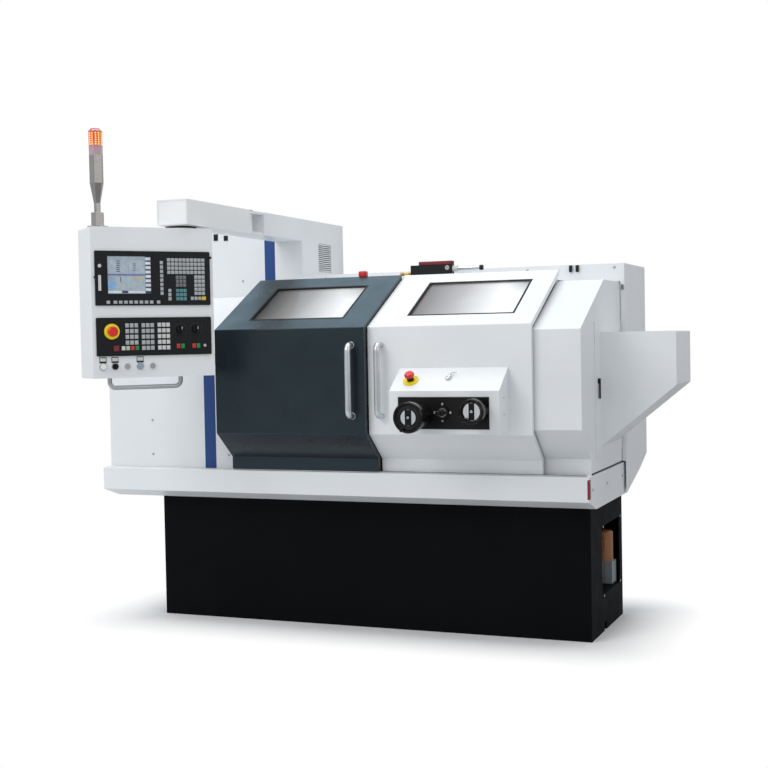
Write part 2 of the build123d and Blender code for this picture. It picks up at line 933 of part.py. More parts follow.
# Pendant planes: x across the face, y up, z towards the operator
turn = radians(pendant_turn)
across = Vector(cos(turn), sin(turn), 0)
towards = Vector(sin(turn), -cos(turn), 0)
pivot = Vector(boom_x, pendant_pivot_y, 0)
display_top = pendant_top - pendant_head
face_origin = pivot - across * pivot_across + towards * pivot_behind + Vector(0, 0, display_top)
face = Plane(origin=face_origin, x_dir=across, z_dir=towards)
keys_top = -display_height - panel_pitch
pendant_low = keys_top - keys_height - pendant_foot
pendant_width = panel_width + 2 * panel_margin
pendant_height = pendant_head - pendant_low


def on_face(depth=0):
    return face.offset(depth)


estop_at = (62, keys_top - 56)
feed_at = (350, keys_top - 51)
speed_at = (418, keys_top - 51)
bay = -display_height - panel_pitch - keys_height - 42
start_at = (25, bay)
mode_at = (74, bay)
lamp_button_at = (178, bay)
bezel_face = -plate_thickness
bezel = 4


with BuildPart() as pendant_housing:
    centre = (panel_width / 2, (pendant_head + pendant_low) / 2)
    with BuildSketch(on_face(-pendant_depth)):
        with Locations(centre):
            RectangleRounded(pendant_width, pendant_height, 6)
    extrude(amount=pendant_depth - plate_thickness)
    with BuildSketch(on_face(-pendant_depth + sheet)):
        with Locations(centre):
            RectangleRounded(pendant_width - 2 * sheet, pendant_height - 2 * sheet, 4)
    extrude(amount=pendant_depth - plate_thickness - 2 * sheet, mode=Mode.SUBTRACT)
    for top, height in ((0, display_height), (keys_top, keys_height)):
        with BuildSketch(on_face(-plate_thickness)):
            with Locations((panel_width / 2, top - height / 2)):
                Rectangle(panel_width - 24, height - 24)
        extrude(amount=-sheet, mode=Mode.SUBTRACT)
    # Swivel flange and stem into the arm
    rod_z(boom_x, pendant_pivot_y, pendant_top, boom_low - slide_gap, swivel_radius)
    rod_z(boom_x, pendant_pivot_y, boom_low - slide_gap, boom_low + 4 * boom_wall, swivel_stem)
    rod_z(boom_x, pendant_pivot_y, boom_low + boom_wall + slide_gap, boom_low + 3 * boom_wall, swivel_stem + 12)
    # Bezel rings of the push buttons in the foot, two of them with blank plugs
    for at in (start_at, mode_at, lamp_button_at):
        with BuildSketch(on_face(bezel_face)):
            with Locations(at):
                Circle(button_radius + 4)
                Circle(button_radius - 2, mode=Mode.SUBTRACT)
        extrude(amount=bezel)
    with BuildSketch(on_face(bezel_face)):
        with Locations((124, bay), (229, bay)):
            Circle(button_radius + 4)
    extrude(amount=bezel)
finish(pendant_housing.part, "pendant_housing")


def key_field(left, top, columns, rows, pitch_x, pitch_y, key_x, key_y, rise):
    """A block of keys that stand a little out of their front plate."""
    with BuildSketch(on_face(0)) as section:
        for column in range(columns):
            for row in range(rows):
                with Locations((left + (column + 0.5) * pitch_x, top - (row + 0.5) * pitch_y)):
                    Rectangle(key_x, key_y)
    extrude(section.sketch, amount=rise)


with BuildPart() as display_panel:
    with BuildSketch(on_face(-plate_thickness)):
        with Locations((panel_width / 2, -display_height / 2)):
            RectangleRounded(panel_width, display_height, 5)
    extrude(amount=plate_thickness)
    with BuildSketch(on_face(-2)):
        with Locations((screen_left + screen_width / 2, screen_top - screen_height / 2)):
            Rectangle(screen_width, screen_height)
    extrude(amount=2, mode=Mode.SUBTRACT)
    # Left and top of each field, its columns and rows, their pitches and the size of a key
    for field in (
        (266.5, -37.4, 1, 8, 17, 17.8, 12, 13),
        (42.5, -199, 1, 1, 17, 16, 13, 12),
        (69.6, -199, 8, 1, 21.4, 16, 14, 12),
        (250.6, -199, 1, 1, 17, 16, 13, 12),
        (297.6, -26.2, 10, 4, 16.3, 16.9, 13, 13),
        (333.7, -97.9, 3, 3, 15.1, 16, 12, 13),
        (333.7, -151.9, 3, 3, 15.6, 16.8, 13, 13),
        (300.4, -151.8, 1, 3, 15, 16.8, 12, 13),
        (412.9, -96.1, 3, 5, 15.6, 16.8, 13, 13),
        (395.7, -184.4, 3, 1, 16, 16, 12, 13),
        (443.8, -184.4, 1, 1, 19, 16, 17, 14),
    ):
        key_field(*field, key_rise)
finish(display_panel.part, "display_panel")

with BuildPart() as machine_panel:
    with BuildSketch(on_face(-plate_thickness)):
        with Locations((panel_width / 2, keys_top - keys_height / 2)):
            RectangleRounded(panel_width, keys_height, 5)
    extrude(amount=plate_thickness)
    for field in (
        (116, -20.2, 3, 4, 18.9, 23.2, 14, 16),
        (183.5, -20.4, 3, 5, 18.5, 23.1, 14, 16),
        (251, -19, 3, 5, 18.3, 23.3, 14, 16),
        (99, -115.8, 4, 1, 19, 16, 14, 16),
        (67.5, -112.5, 1, 1, 24, 24, 22, 22),
        (330, -110, 2, 1, 19, 18, 14, 18),
        (397, -110, 2, 1, 19, 18, 14, 18),
        (447.5, -113, 1, 1, 11, 11, 9, 9),
    ):
        key_field(field[0], keys_top + field[1], *field[2:], key_rise)
    with BuildSketch(on_face(0)):
        with Locations(estop_at):
            Circle(estop_collar)
    extrude(amount=8)
    for at in (feed_at, speed_at):
        with BuildSketch(on_face(0)):
            with Locations(at):
                Circle(knob_radius + 5)
        extrude(amount=knob_skirt)
    with BuildSketch(on_face(8)):
        with Locations(estop_at):
            Circle(estop_stem + running_gap)
    extrude(amount=-8 - plate_thickness, mode=Mode.SUBTRACT)
    for at in (feed_at, speed_at):
        with BuildSketch(on_face(knob_skirt)):
            with Locations(at):
                Circle(knob_stem + running_gap)
        extrude(amount=-knob_skirt - plate_thickness / 2, mode=Mode.SUBTRACT)
finish(machine_panel.part, "machine_panel")



def mushroom(plane, at, stem_start, top):
    """An emergency stop head: a stem and a broad cap with a bevelled face."""
    with BuildSketch(plane.offset(stem_start)) as section:
        with Locations(at):
            Circle(estop_stem)
    extrude(section.sketch, amount=top - stem_start)
    with BuildSketch(plane.offset(top)) as section:
        with Locations(at):
            Circle(estop_radius)
    extrude(section.sketch, amount=9)
    with BuildSketch(plane.offset(top + 9)) as section:
        with Locations(at):
            Circle(estop_radius)
    extrude(section.sketch, amount=5, taper=40)


with BuildPart() as pendant_estop_button:
    mushroom(face, estop_at, 0, 8 + estop_travel + slide_gap)
finish(pendant_estop_button.part, "pendant_estop_button")


def knob(at, base_depth):
    """A rotary switch knob with a grip bar on a round skirt."""
    with BuildSketch(on_face(-1)) as section:
        with Locations(at):
            Circle(knob_stem)
    extrude(section.sketch, amount=1 + base_depth + slide_gap)
    with BuildSketch(on_face(base_depth + slide_gap)) as section:
        with Locations(at):
            Circle(knob_radius)
    extrude(section.sketch, amount=knob_height * 0.55)
    with BuildSketch(on_face(base_depth + slide_gap + knob_height * 0.55)) as section:
        with Locations(at):
            SlotOverall(1.8 * knob_radius, knob_radius * 0.6, rotation=90)
    extrude(section.sketch, amount=knob_height * 0.45)


with BuildPart() as feed_knob:
    knob(feed_at, knob_skirt)
finish(feed_knob.part, "feed_knob")

with BuildPart() as speed_knob:
    knob(speed_at, knob_skirt)
finish(speed_knob.part, "speed_knob")


def push_button(at):
    top = bezel_face + bezel + button_travel + slide_gap
    with BuildSketch(on_face(bezel_face + button_travel + slide_gap)) as section:
        with Locations(at):
            Circle(button_radius - 2 - running_gap)
    extrude(section.sketch, amount=bezel)
    with BuildSketch(on_face(top)) as section:
        with Locations(at):
            Circle(button_radius + 1)
    extrude(section.sketch, amount=3)


with BuildPart() as start_button:
    push_button(start_at)
finish(start_button.part, "start_button")

with BuildPart() as lit_button:
    push_button(lamp_button_at)
finish(lit_button.part, "lit_button")

with BuildPart() as mode_switch:
    with BuildSketch(on_face(bezel_face + slide_gap)):
        with Locations(mode_at):
            Circle(button_radius - 2 - running_gap)
    extrude(amount=bezel)
    with BuildSketch(on_face(bezel_face + bezel + slide_gap)):
        with Locations(mode_at):
            Circle(button_radius + 1)
    extrude(amount=4)
    with BuildSketch(on_face(bezel_face + bezel + slide_gap + 4)):
        with Locations(mode_at):
            SlotOverall(2 * button_radius, 7, rotation=60)
    extrude(amount=9)
finish(mode_switch.part, "mode_switch")

# Tube handle under the pendant
with BuildPart() as pendant_handle:
    tube = 9
    drop = 40
    left_end = 58
    right_end = 356
    low = pendant_low - drop
    depth = -plate_thickness - 3 * tube

    def face_point(x, y):
        return face.from_local_coords((x, y, depth))

    with BuildLine() as path:
        FilletPolyline(
            face_point(left_end, pendant_low),
            face_point(left_end, low),
            face_point(right_end, low),
            face_point(right_end, pendant_low),
            radius=24,
        )
    with BuildSketch(Plane(origin=path.line @ 0, z_dir=path.line % 0)):
        Circle(tube)
    sweep(path=path.line)
finish(pendant_handle.part, "pendant_handle")

# Signal lamp on the pendant: a slim six-sided profile on a turned foot
lamp_place = face.from_local_coords((lamp_across, pendant_head, -lamp_behind))
with BuildPart() as signal_lamp:
    base_plane = Plane(origin=lamp_place, x_dir=across, z_dir=(0, 0, 1))
    with BuildSketch(base_plane):
        Circle(lamp_flange)
    extrude(amount=5)
    with BuildSketch(base_plane.offset(5)):
        RegularPolygon(lamp_collar, 6)
    extrude(amount=lamp_collar_top - 5)
    with BuildSketch(base_plane.offset(lamp_collar_top)):
        RegularPolygon(lamp_neck, 6)
    extrude(amount=lamp_neck_top - lamp_collar_top)
    with BuildSketch(base_plane.offset(lamp_neck_top)):
        RegularPolygon(lamp_neck, 6)
    with BuildSketch(base_plane.offset(lamp_taper_top)):
        RegularPolygon(lamp_body, 6)
    loft()
    with BuildSketch(base_plane.offset(lamp_taper_top)):
        RegularPolygon(lamp_body, 6)
    extrude(amount=lamp_lens_low - lamp_taper_top)
finish(signal_lamp.part, "signal_lamp")

with BuildPart() as signal_lens:
    with BuildSketch(base_plane.offset(lamp_lens_low)):
        RegularPolygon(lamp_body, 6)
    extrude(amount=lamp_top - 12 - lamp_lens_low)
    with BuildSketch(base_plane.offset(lamp_top - 12)):
        RegularPolygon(lamp_body, 6)
    extrude(amount=12, taper=35)
finish(signal_lens.part, "signal_lens")

# Handwheel box on the light door
with BuildPart() as control_box:
    outline = [
        (light_front, box_low),
        (box_front, box_low),
        (box_front, box_edge_z),
        (light_front, box_top_z),
    ]
    along_x(outline, box_left, box_right)
    inner = [
        (light_front, box_low + sheet),
        (box_front + sheet, box_low + sheet),
        (box_front + sheet, box_edge_z - sheet),
        (light_front, box_top_z - 2 * sheet),
    ]
    along_x(inner, box_left + sheet, box_right - sheet, Mode.SUBTRACT)
    slope_run = light_front - box_front
    slope_rise = box_top_z - box_edge_z
    slope_length = hypot(slope_run, slope_rise)
    box_slope = Plane(
        origin=(0, box_front, box_edge_z),
        x_dir=(1, 0, 0),
        z_dir=(0, -slope_rise / slope_length, slope_run / slope_length),
    )
    box_estop_at = (345, 0.43 * slope_length)
    with BuildSketch(box_slope):
        with Locations(box_estop_at):
            Circle(estop_collar)
    extrude(amount=5)
    with BuildSketch(box_slope.offset(5)):
        with Locations(box_estop_at):
            Circle(estop_stem + running_gap)
    extrude(amount=-5 - 3 * sheet, mode=Mode.SUBTRACT)
finish(control_box.part, "control_box")

with BuildPart() as box_estop_button:
    mushroom(box_slope, box_estop_at, -sheet, 5 + box_estop_rise + estop_travel + slide_gap)
finish(box_estop_button.part, "box_estop_button")

# Black plate with the two handwheel bosses and the joystick socket
plate_face = box_front - 4
joint_y = plate_face - 6
with BuildPart() as handwheel_plate:
    block((plate_left, plate_right), (plate_face, box_front), (plate_low, plate_high))
    with BuildSketch(front_plane(wheel_z_x, wheel_z_z, plate_face)):
        Circle(boss_z_radius)
    extrude(amount=boss_z_length, taper=2)
    with BuildSketch(front_plane(wheel_x_x, wheel_x_z, plate_face)):
        Circle(boss_x_radius + 12)
    extrude(amount=boss_x_length * 0.4)
    with BuildSketch(front_plane(wheel_x_x, wheel_x_z, plate_face)):
        Circle(boss_x_radius)
    extrude(amount=boss_x_length)
    for wheel_x, wheel_z, length in ((wheel_z_x, wheel_z_z, boss_z_length), (wheel_x_x, wheel_x_z, boss_x_length)):
        with BuildSketch(front_plane(wheel_x, wheel_z, plate_face - length)):
            Circle(wheel_stem + running_gap)
        extrude(amount=-length + 10, mode=Mode.SUBTRACT)
    with BuildSketch(front_plane(joystick_x, joystick_z, plate_face)):
        Circle(26)
    extrude(amount=12)
    with BuildSketch(front_plane(joystick_x, joystick_z, box_front)):
        Circle(socket_radius)
    extrude(amount=20, mode=Mode.SUBTRACT)
    pin_reach = socket_radius + gimbal_seat
    rod_x(
        joystick_x - pin_reach - slide_gap, joystick_x + pin_reach + slide_gap, joint_y, joystick_z,
        gimbal_pin + running_gap, Mode.SUBTRACT,
    )
    for angle in (0, 90, 180, 270):
        with BuildSketch(front_plane(
                joystick_x + 33 * cos(radians(angle)), joystick_z + 33 * sin(radians(angle)), plate_face)):
            RegularPolygon(4, 6)
        extrude(amount=3)
finish(handwheel_plate.part, "handwheel_plate")


def handwheel(x, z, face_y, radius, stem):
    """A turned handwheel: stem, rounded rim and a dished front with a small hub."""
    back = face_y - 2 * slide_gap
    front = back - wheel_thickness
    profile = [
        (0, face_y + stem),
        (wheel_stem, face_y + stem),
        (wheel_stem, back),
        (radius - wheel_edge, back),
        (radius, back - wheel_edge),
        (radius, front + wheel_edge),
        (radius - wheel_edge, front),
        (radius - wheel_rim, front),
        (radius - wheel_rim - 4, front + wheel_dish / 2),
        (radius * 0.35, front + wheel_dish),
        (wheel_hub, front + wheel_dish),
        (wheel_hub, front + wheel_dish / 2),
        (0, front + wheel_dish / 2),
    ]
    with BuildSketch(Plane(origin=(x, 0, z), x_dir=(1, 0, 0), z_dir=(0, 0, 1))) as section:
        with BuildLine():
            Polyline(profile, close=True)
        make_face()
    revolve(section.sketch, axis=Axis((x, 0, z), (0, 1, 0)))


def crank_place(x, z, radius, angle):
    return (x + (radius - crank_inset) * cos(radians(angle)), z + (radius - crank_inset) * sin(radians(angle)))


def crank_pin(place, face_y):
    """A pin for the crank grip, standing on the floor of the dish."""
    dish_floor = face_y - 2 * slide_gap - wheel_thickness + wheel_dish
    with BuildSketch(front_plane(place[0], place[1], dish_floor)) as section:
        Circle(crank_pin_radius)
    extrude(section.sketch, amount=wheel_dish + slide_gap + crank_length)


def crank_grip(place, face_y):
    """The grip, turned with a waist and bored for its pin."""
    start = face_y - 3 * slide_gap - wheel_thickness
    bore = crank_pin_radius + running_gap
    profile = [
        (bore, start),
        (crank_grip_radius - 1, start),
        (crank_grip_radius, start - crank_length * 0.2),
        (crank_grip_radius - 2, start - crank_length * 0.5),
        (crank_grip_radius, start - crank_length * 0.85),
        (crank_grip_radius - 2, start - crank_length),
        (bore, start - crank_length),
    ]
    with BuildSketch(Plane(origin=(place[0], 0, place[1]), x_dir=(1, 0, 0), z_dir=(0, 0, 1))) as section:
        with BuildLine():
            Polyline(profile, close=True)
        make_face()
    revolve(section.sketch, axis=Axis((place[0], 0, place[1]), (0, 1, 0)))


face_z = plate_face - boss_z_length
face_x = plate_face - boss_x_length
place_z = crank_place(wheel_z_x, wheel_z_z, wheel_z_radius, 250)
place_x = crank_place(wheel_x_x, wheel_x_z, wheel_x_radius, 235)

with BuildPart() as z_handwheel:
    handwheel(wheel_z_x, wheel_z_z, face_z, wheel_z_radius, boss_z_length - 20)
    crank_pin(place_z, face_z)
finish(z_handwheel.part, "z_handwheel")

with BuildPart() as x_handwheel:
    handwheel(wheel_x_x, wheel_x_z, face_x, wheel_x_radius, boss_x_length - 20)
    crank_pin(place_x, face_x)
finish(x_handwheel.part, "x_handwheel")

with BuildPart() as z_crank_grip:
    crank_grip(place_z, face_z)
finish(z_crank_grip.part, "z_crank_grip")

with BuildPart() as x_crank_grip:
    crank_grip(place_x, face_x)
finish(x_crank_grip.part, "x_crank_grip")

# Joystick: a gimbal ring on two pins in its socket, and in the ring a lever on two pins
ring_outer = socket_radius - 0.8
ring_inner = 12.5
lever_foot = ring_inner - 0.8
with BuildPart() as joystick_ring:
    ring_start = joint_y + 4
    with BuildSketch(front_plane(joystick_x, joystick_z, ring_start)):
        Circle(ring_outer)
        Circle(ring_inner, mode=Mode.SUBTRACT)
    extrude(amount=8)
    for side in (-1, 1):
        ends = sorted((joystick_x + side * (ring_outer - 1), joystick_x + side * pin_reach))
        rod_x(ends[0], ends[1], joint_y, joystick_z, gimbal_pin)
    with BuildSketch(Plane.XY.offset(joystick_z - ring_outer - 1)):
        with Locations((joystick_x, joint_y)):
            Circle(gimbal_pin + running_gap)
    extrude(amount=2 * ring_outer + 2, mode=Mode.SUBTRACT)
finish(joystick_ring.part, "joystick_ring")

with BuildPart() as joystick_lever:
    with BuildSketch(front_plane(joystick_x, joystick_z, ring_start)):
        Circle(lever_foot)
    extrude(amount=8)
    with BuildSketch(front_plane(joystick_x, joystick_z, ring_start - 8)):
        Circle(5)
    extrude(amount=34)
    with BuildSketch(front_plane(joystick_x, joystick_z, ring_start - 42)):
        Circle(9)
    extrude(amount=22)
    chamfer(joystick_lever.edges().group_by(Axis.Y)[0], 3)
    rod_z(joystick_x, joint_y, joystick_z - ring_outer, joystick_z + ring_outer, gimbal_pin)
finish(joystick_lever.part, "joystick_lever")

# Lock of the light door on the roof: a stepped switch body with its spring bolt
with BuildPart() as door_interlock:
    lock_floor = roof_z + sheet
    stepped = [
        (lock_left, lock_floor),
        (lock_left, lock_floor + lock_step_height),
        (lock_step_x, lock_floor + lock_step_height),
        (lock_step_x, lock_floor + lock_height),
        (lock_right, lock_floor + lock_height),
        (lock_right, lock_floor),
    ]
    with BuildSketch(Plane(origin=(0, lock_front, 0), x_dir=(1, 0, 0), z_dir=(0, -1, 0))):
        with BuildLine():
            Polyline(stepped, close=True)
        make_face()
    extrude(amount=-lock_depth)
    fillet(door_interlock.edges().filter_by(Axis.Z), 4)
    bolt_y = lock_front + lock_depth / 2
    bolt_z = lock_floor + lock_bolt_height
    rod_x(lock_right, lock_right + lock_sleeve, bolt_y, bolt_z, 13)
    rod_x(lock_right + lock_sleeve, lock_right + lock_bolt, bolt_y, bolt_z, 9)
    rod_x(lock_right + lock_bolt, lock_right + lock_bolt + 14, bolt_y, bolt_z, 11)
finish(door_interlock.part, "door_interlock")


def vee(half, rise, centre, base, gap=0.0):
    return [(centre - half - gap, base), (centre, base + rise + gap), (centre + half + gap, base)]


# Bed: a cast box with a vee way in front and a flat way behind
with BuildPart() as bed:
    foot = base_height + tray_sheet
    half = [
        (0, foot),
        (bed_half + 10, foot),
        (bed_half + 10, foot + 26),
        (bed_half - 30, foot + 50),
        (bed_half - 30, bed_top - 62),
        (bed_half, bed_top - 40),
        (bed_half, bed_top),
        (60, bed_top),
        (60, bed_top - 50),
        (0, bed_top - 50),
    ]
    mirrored = [(-y, z) for y, z in half[1:-1]][::-1]
    along_x(half + mirrored, bed_left, bed_right)
    along_x(vee(15, way_rise, -way_y, bed_top), headstock_right + 18, bed_right)
    for i in range(6):
        window_x = bed_left + 190 + i * 290
        block((window_x - 90, window_x + 90), (-bed_half, bed_half), (foot + 70, bed_top - 90), Mode.SUBTRACT)
    # Bearing brackets of the leadscrew and its motor
    for bracket in (-570, 880):
        block(
            (bracket, bracket + 30),
            (screw_y - 34, -bed_half + 30),
            (screw_z - 38, screw_z + 34),
        )
        rod_x(bracket - 1, bracket + 31, screw_y, screw_z, screw_radius + running_gap, Mode.SUBTRACT)
    block((916, 1000), (screw_y - 46, screw_y + 46), (screw_z - 46, screw_z + 46))
    block((910, 916), (screw_y - 34, screw_y + 34), (screw_z - 38, screw_z + 34))
finish(bed.part, "bed")

with BuildPart() as headstock:
    block((headstock_left, headstock_right), (-headstock_half, headstock_half), (bed_top, headstock_top))
    fillet(headstock.edges().filter_by(Axis.X).group_by(Axis.Z)[-1], 40)
    fillet(headstock.edges().filter_by(Axis.Z), 14)
    rod_x(headstock_right, headstock_right - 12, 0, spindle_z, 100)
    rod_x(headstock_left - 1, headstock_right + 1, 0, spindle_z, journal_radius + running_gap, Mode.SUBTRACT)
finish(headstock.part, "headstock")

with BuildPart() as spindle:
    profile = [
        (pulley_left, spindle_bore),
        (pulley_left, spindle_pulley),
        (pulley_right, spindle_pulley),
        (pulley_right, journal_radius + 8),
        (headstock_left - slide_gap, journal_radius + 8),
        (headstock_left - slide_gap, journal_radius),
        (headstock_right + slide_gap, journal_radius),
        (headstock_right + slide_gap, 86),
        (spindle_nose, 86),
        (spindle_nose, 50),
        (spindle_nose + 12, 50),
        (spindle_nose + 12, spindle_bore),
    ]
    with BuildSketch(Plane(origin=(0, 0, spindle_z), x_dir=(1, 0, 0), z_dir=(0, -1, 0))):
        with BuildLine():
            Polyline(profile, close=True)
        make_face()
    revolve(axis=Axis((0, 0, spindle_z), (1, 0, 0)))
    for i in range(belt_grooves):
        groove = pulley_left + 12 + i * belt_groove_pitch
        with BuildSketch(Plane(origin=(0, 0, spindle_z), x_dir=(1, 0, 0), z_dir=(0, -1, 0))):
            with BuildLine():
                Polyline(
                    [(groove, spindle_pulley), (groove + 6, spindle_pulley - 9), (groove + 12, spindle_pulley)],
                    close=True,
                )
            make_face()
        revolve(axis=Axis((0, 0, spindle_z), (1, 0, 0)), mode=Mode.SUBTRACT)
finish(spindle.part, "spindle")

# Three-jaw chuck on the spindle nose
chuck_face = spindle_nose + chuck_length
slot_floor = chuck_face - 26
with BuildPart() as chuck:
    rod_x(spindle_nose, chuck_face, 0, spindle_z, chuck_radius)
    chamfer(chuck.edges().group_by(Axis.X)[-1], 3)
    rod_x(spindle_nose, spindle_nose + 12, 0, spindle_z, 50, Mode.SUBTRACT)
    rod_x(spindle_nose, chuck_face, 0, spindle_z, spindle_bore + 4, Mode.SUBTRACT)
    for angle in (90, 210, 330):
        jaw_plane = Plane(origin=(slot_floor, 0, spindle_z), x_dir=(0, 1, 0), z_dir=(1, 0, 0))
        with BuildSketch(jaw_plane):
            with Locations(Rotation(0, 0, angle)):
                with Locations((chuck_radius / 2 + 16, 0)):
                    Rectangle(chuck_radius + 12, jaw_width + 2 * slide_gap)
        extrude(amount=chuck_face - slot_floor, mode=Mode.SUBTRACT)
finish(chuck.part, "chuck")


def jaw(angle):
    """A stepped jaw that slides in its slot, drawn at the given angle about the spindle."""
    jaw_plane = Plane(origin=(slot_floor + slide_gap, 0, spindle_z), x_dir=(0, 1, 0), z_dir=(1, 0, 0))
    steps = ((spindle_bore + 14, 92, 38), (spindle_bore + 14, 74, 54), (spindle_bore + 14, 56, 70))
    for inner_radius, outer_radius, height in steps:
        with BuildSketch(jaw_plane) as section:
            with Locations(Rotation(0, 0, angle)):
                with Locations(((inner_radius + outer_radius) / 2, 0)):
                    Rectangle(outer_radius - inner_radius, jaw_width)
        extrude(section.sketch, amount=height)


with BuildPart() as chuck_jaw_1:
    jaw(90)
finish(chuck_jaw_1.part, "chuck_jaw_1")

with BuildPart() as chuck_jaw_2:
    jaw(210)
finish(chuck_jaw_2.part, "chuck_jaw_2")

with BuildPart() as chuck_jaw_3:
    jaw(330)
finish(chuck_jaw_3.part, "chuck_jaw_3")

# Main motor in the base, its pulley and the belt up to the spindle
motor_left = headstock_left + 10
with BuildPart() as main_motor:
    rod_x(motor_left, motor_left + motor_length - 40, 0, motor_z, motor_radius)
    rod_x(motor_left + motor_length - 40, motor_left + motor_length - 20, 0, motor_z, motor_radius - 14)
    block(
        (motor_left, motor_left + motor_length - 60),
        (-motor_radius / 2, motor_radius / 2),
        (motor_z - motor_radius - base_wall + seat_gap, motor_z - motor_radius / 2),
    )
    block(
        (motor_left + 100, motor_left + 220),
        (-60, 60),
        (motor_z + motor_radius - 20, motor_z + motor_radius + 44),
    )
    rod_x(motor_left, motor_left + 60, 0, motor_z, 20 + running_gap, Mode.SUBTRACT)
finish(main_motor.part, "main_motor")

with BuildPart() as motor_pulley:
    rod_x(pulley_left, pulley_right, 0, motor_z, motor_pulley_radius)
    rod_x(pulley_right, motor_left + 58, 0, motor_z, 20)
finish(motor_pulley.part, "motor_pulley")

with BuildPart() as drive_belt:
    for rise, mode in ((running_gap + belt_thickness, Mode.ADD), (running_gap, Mode.SUBTRACT)):
        with BuildSketch(Plane.YZ.offset(pulley_left + 6)):
            with Locations((0, spindle_z)):
                Circle(spindle_pulley + rise)
            with Locations((0, motor_z)):
                Circle(motor_pulley_radius + rise)
            make_hull()
        extrude(amount=pulley_right - pulley_left - 12, mode=mode)
finish(drive_belt.part, "drive_belt")

# Leadscrew of the long axis
with BuildPart() as z_ballscrew:
    rod_x(-565, 908, screw_y, screw_z, screw_radius)
finish(z_ballscrew.part, "z_ballscrew")

# Saddle on the bed with its apron and the cross-slide motor
with BuildPart() as carriage:
    saddle_low = bed_top + slide_gap
    block((saddle_left, saddle_right), (saddle_front, saddle_back), (saddle_low, saddle_top))
    fillet(carriage.edges().filter_by(Axis.Z), 10)
    along_x(
        vee(15, way_rise, -way_y, saddle_low, 2 * slide_gap), saddle_left, saddle_right, Mode.SUBTRACT
    )
    block(
        (saddle_left + 30, saddle_right - 30),
        (saddle_front, -bed_half - 12),
        (screw_z - 44, saddle_low + 10),
    )
    rod_x(saddle_left, saddle_right, screw_y, screw_z, screw_radius + running_gap, Mode.SUBTRACT)
    middle = (saddle_left + saddle_right) / 2
    block((middle - 46, middle + 46), (saddle_back, saddle_back + 110), (saddle_low - 20, saddle_top))
finish(carriage.part, "carriage")

# Cross slide with the turret housing
with BuildPart() as cross_slide:
    slide_low = saddle_top + slide_gap
    block((slide_left, slide_right), (slide_front, slide_back), (slide_low, slide_top))
    fillet(cross_slide.edges().filter_by(Axis.Z), 8)
    turret_right = turret_left + turret_thickness
    block(
        (turret_right + slide_gap, slide_right - 20),
        (turret_y - 78, turret_y + 92),
        (slide_top, spindle_z + 96),
    )
    fillet(cross_slide.edges().filter_by(Axis.X).group_by(Axis.Z)[-1], 24)
    rod_x(turret_right - 20, turret_right + slide_gap, turret_y, spindle_z, 30)
finish(cross_slide.part, "cross_slide")

# Turret disc with a tool in every station
with BuildPart() as turret_disc:
    with BuildSketch(Plane.YZ.offset(turret_left)):
        with Locations((turret_y, spindle_z)):
            RegularPolygon(turret_radius, turret_stations, rotation=22.5)
    extrude(amount=turret_thickness)
    rod_x(turret_right - 20 - slide_gap, turret_right, turret_y, spindle_z, 30 + running_gap, Mode.SUBTRACT)
    for i in range(turret_stations):
        angle = i * 360 / turret_stations
        with BuildSketch(Plane.YZ.offset(turret_left + 8)):
            with Locations(Location((turret_y, spindle_z), angle)):
                with Locations((turret_radius * 0.9 + tool_reach / 2, 0)):
                    Rectangle(tool_reach + turret_radius * 0.1, 20)
        extrude(amount=24)
finish(turret_disc.part, "turret_disc")

# Tailstock, quill and handwheel
with BuildPart() as tailstock:
    saddle_low = bed_top + slide_gap
    body = [
        (-tail_half, saddle_low),
        (tail_half + 40, saddle_low),
        (tail_half + 40, saddle_low + 50),
        (tail_half - 35, saddle_low + 90),
        (tail_half - 35, spindle_z + 50),
        (-tail_half + 35, spindle_z + 50),
        (-tail_half + 35, saddle_low + 90),
        (-tail_half - 40, saddle_low + 50),
        (-tail_half - 40, saddle_low),
    ]
    along_x(body, tail_left, tail_right)
    fillet(tailstock.edges().filter_by(Axis.X).group_by(Axis.Z)[-1], 40)
    along_x(vee(15, way_rise, -way_y, saddle_low, 2 * slide_gap), tail_left, tail_right, Mode.SUBTRACT)
    rod_x(tail_left, tail_right, 0, spindle_z, quill_radius + running_gap, Mode.SUBTRACT)
    rod_x(tail_right - 30, tail_right, 0, spindle_z, quill_radius + running_gap)
    rod_x(tail_right - 30, tail_right, 0, spindle_z, 12 + running_gap, Mode.SUBTRACT)
finish(tailstock.part, "tailstock")

with BuildPart() as tail_quill:
    rod_x(quill_left, tail_right - 40, 0, spindle_z, quill_radius)
    rod_x(tail_right - 160, tail_right - 40, 0, spindle_z, 13, Mode.SUBTRACT)
    with BuildSketch(Plane(origin=(0, 0, spindle_z), x_dir=(1, 0, 0), z_dir=(0, -1, 0))):
        with BuildLine():
            Polyline(
                [
                    (quill_left, 0),
                    (quill_left - centre_length, 0),
                    (quill_left - centre_length * 0.55, 15),
                    (quill_left, 17),
                ],
                close=True,
            )
        make_face()
    revolve(axis=Axis((0, 0, spindle_z), (1, 0, 0)))
finish(tail_quill.part, "tail_quill")

with BuildPart() as tail_handwheel:
    rod_x(tail_right - 150, tail_right + 8, 0, spindle_z, 12)
    with BuildSketch(Plane.YZ.offset(tail_right + 8)):
        with Locations((0, spindle_z)):
            Circle(tail_wheel_radius)
            Circle(tail_wheel_radius - 14, mode=Mode.SUBTRACT)
            Circle(20)
            for angle in (30, 150, 270):
                with Locations(Rotation(0, 0, angle)):
                    with Locations((tail_wheel_radius / 2, 0)):
                        Rectangle(tail_wheel_radius - 20, 14)
    extrude(amount=18)
    rod_x(tail_right + 26, tail_right + 84, 0, spindle_z + tail_wheel_radius - 9, 8)
finish(tail_handwheel.part, "tail_handwheel")

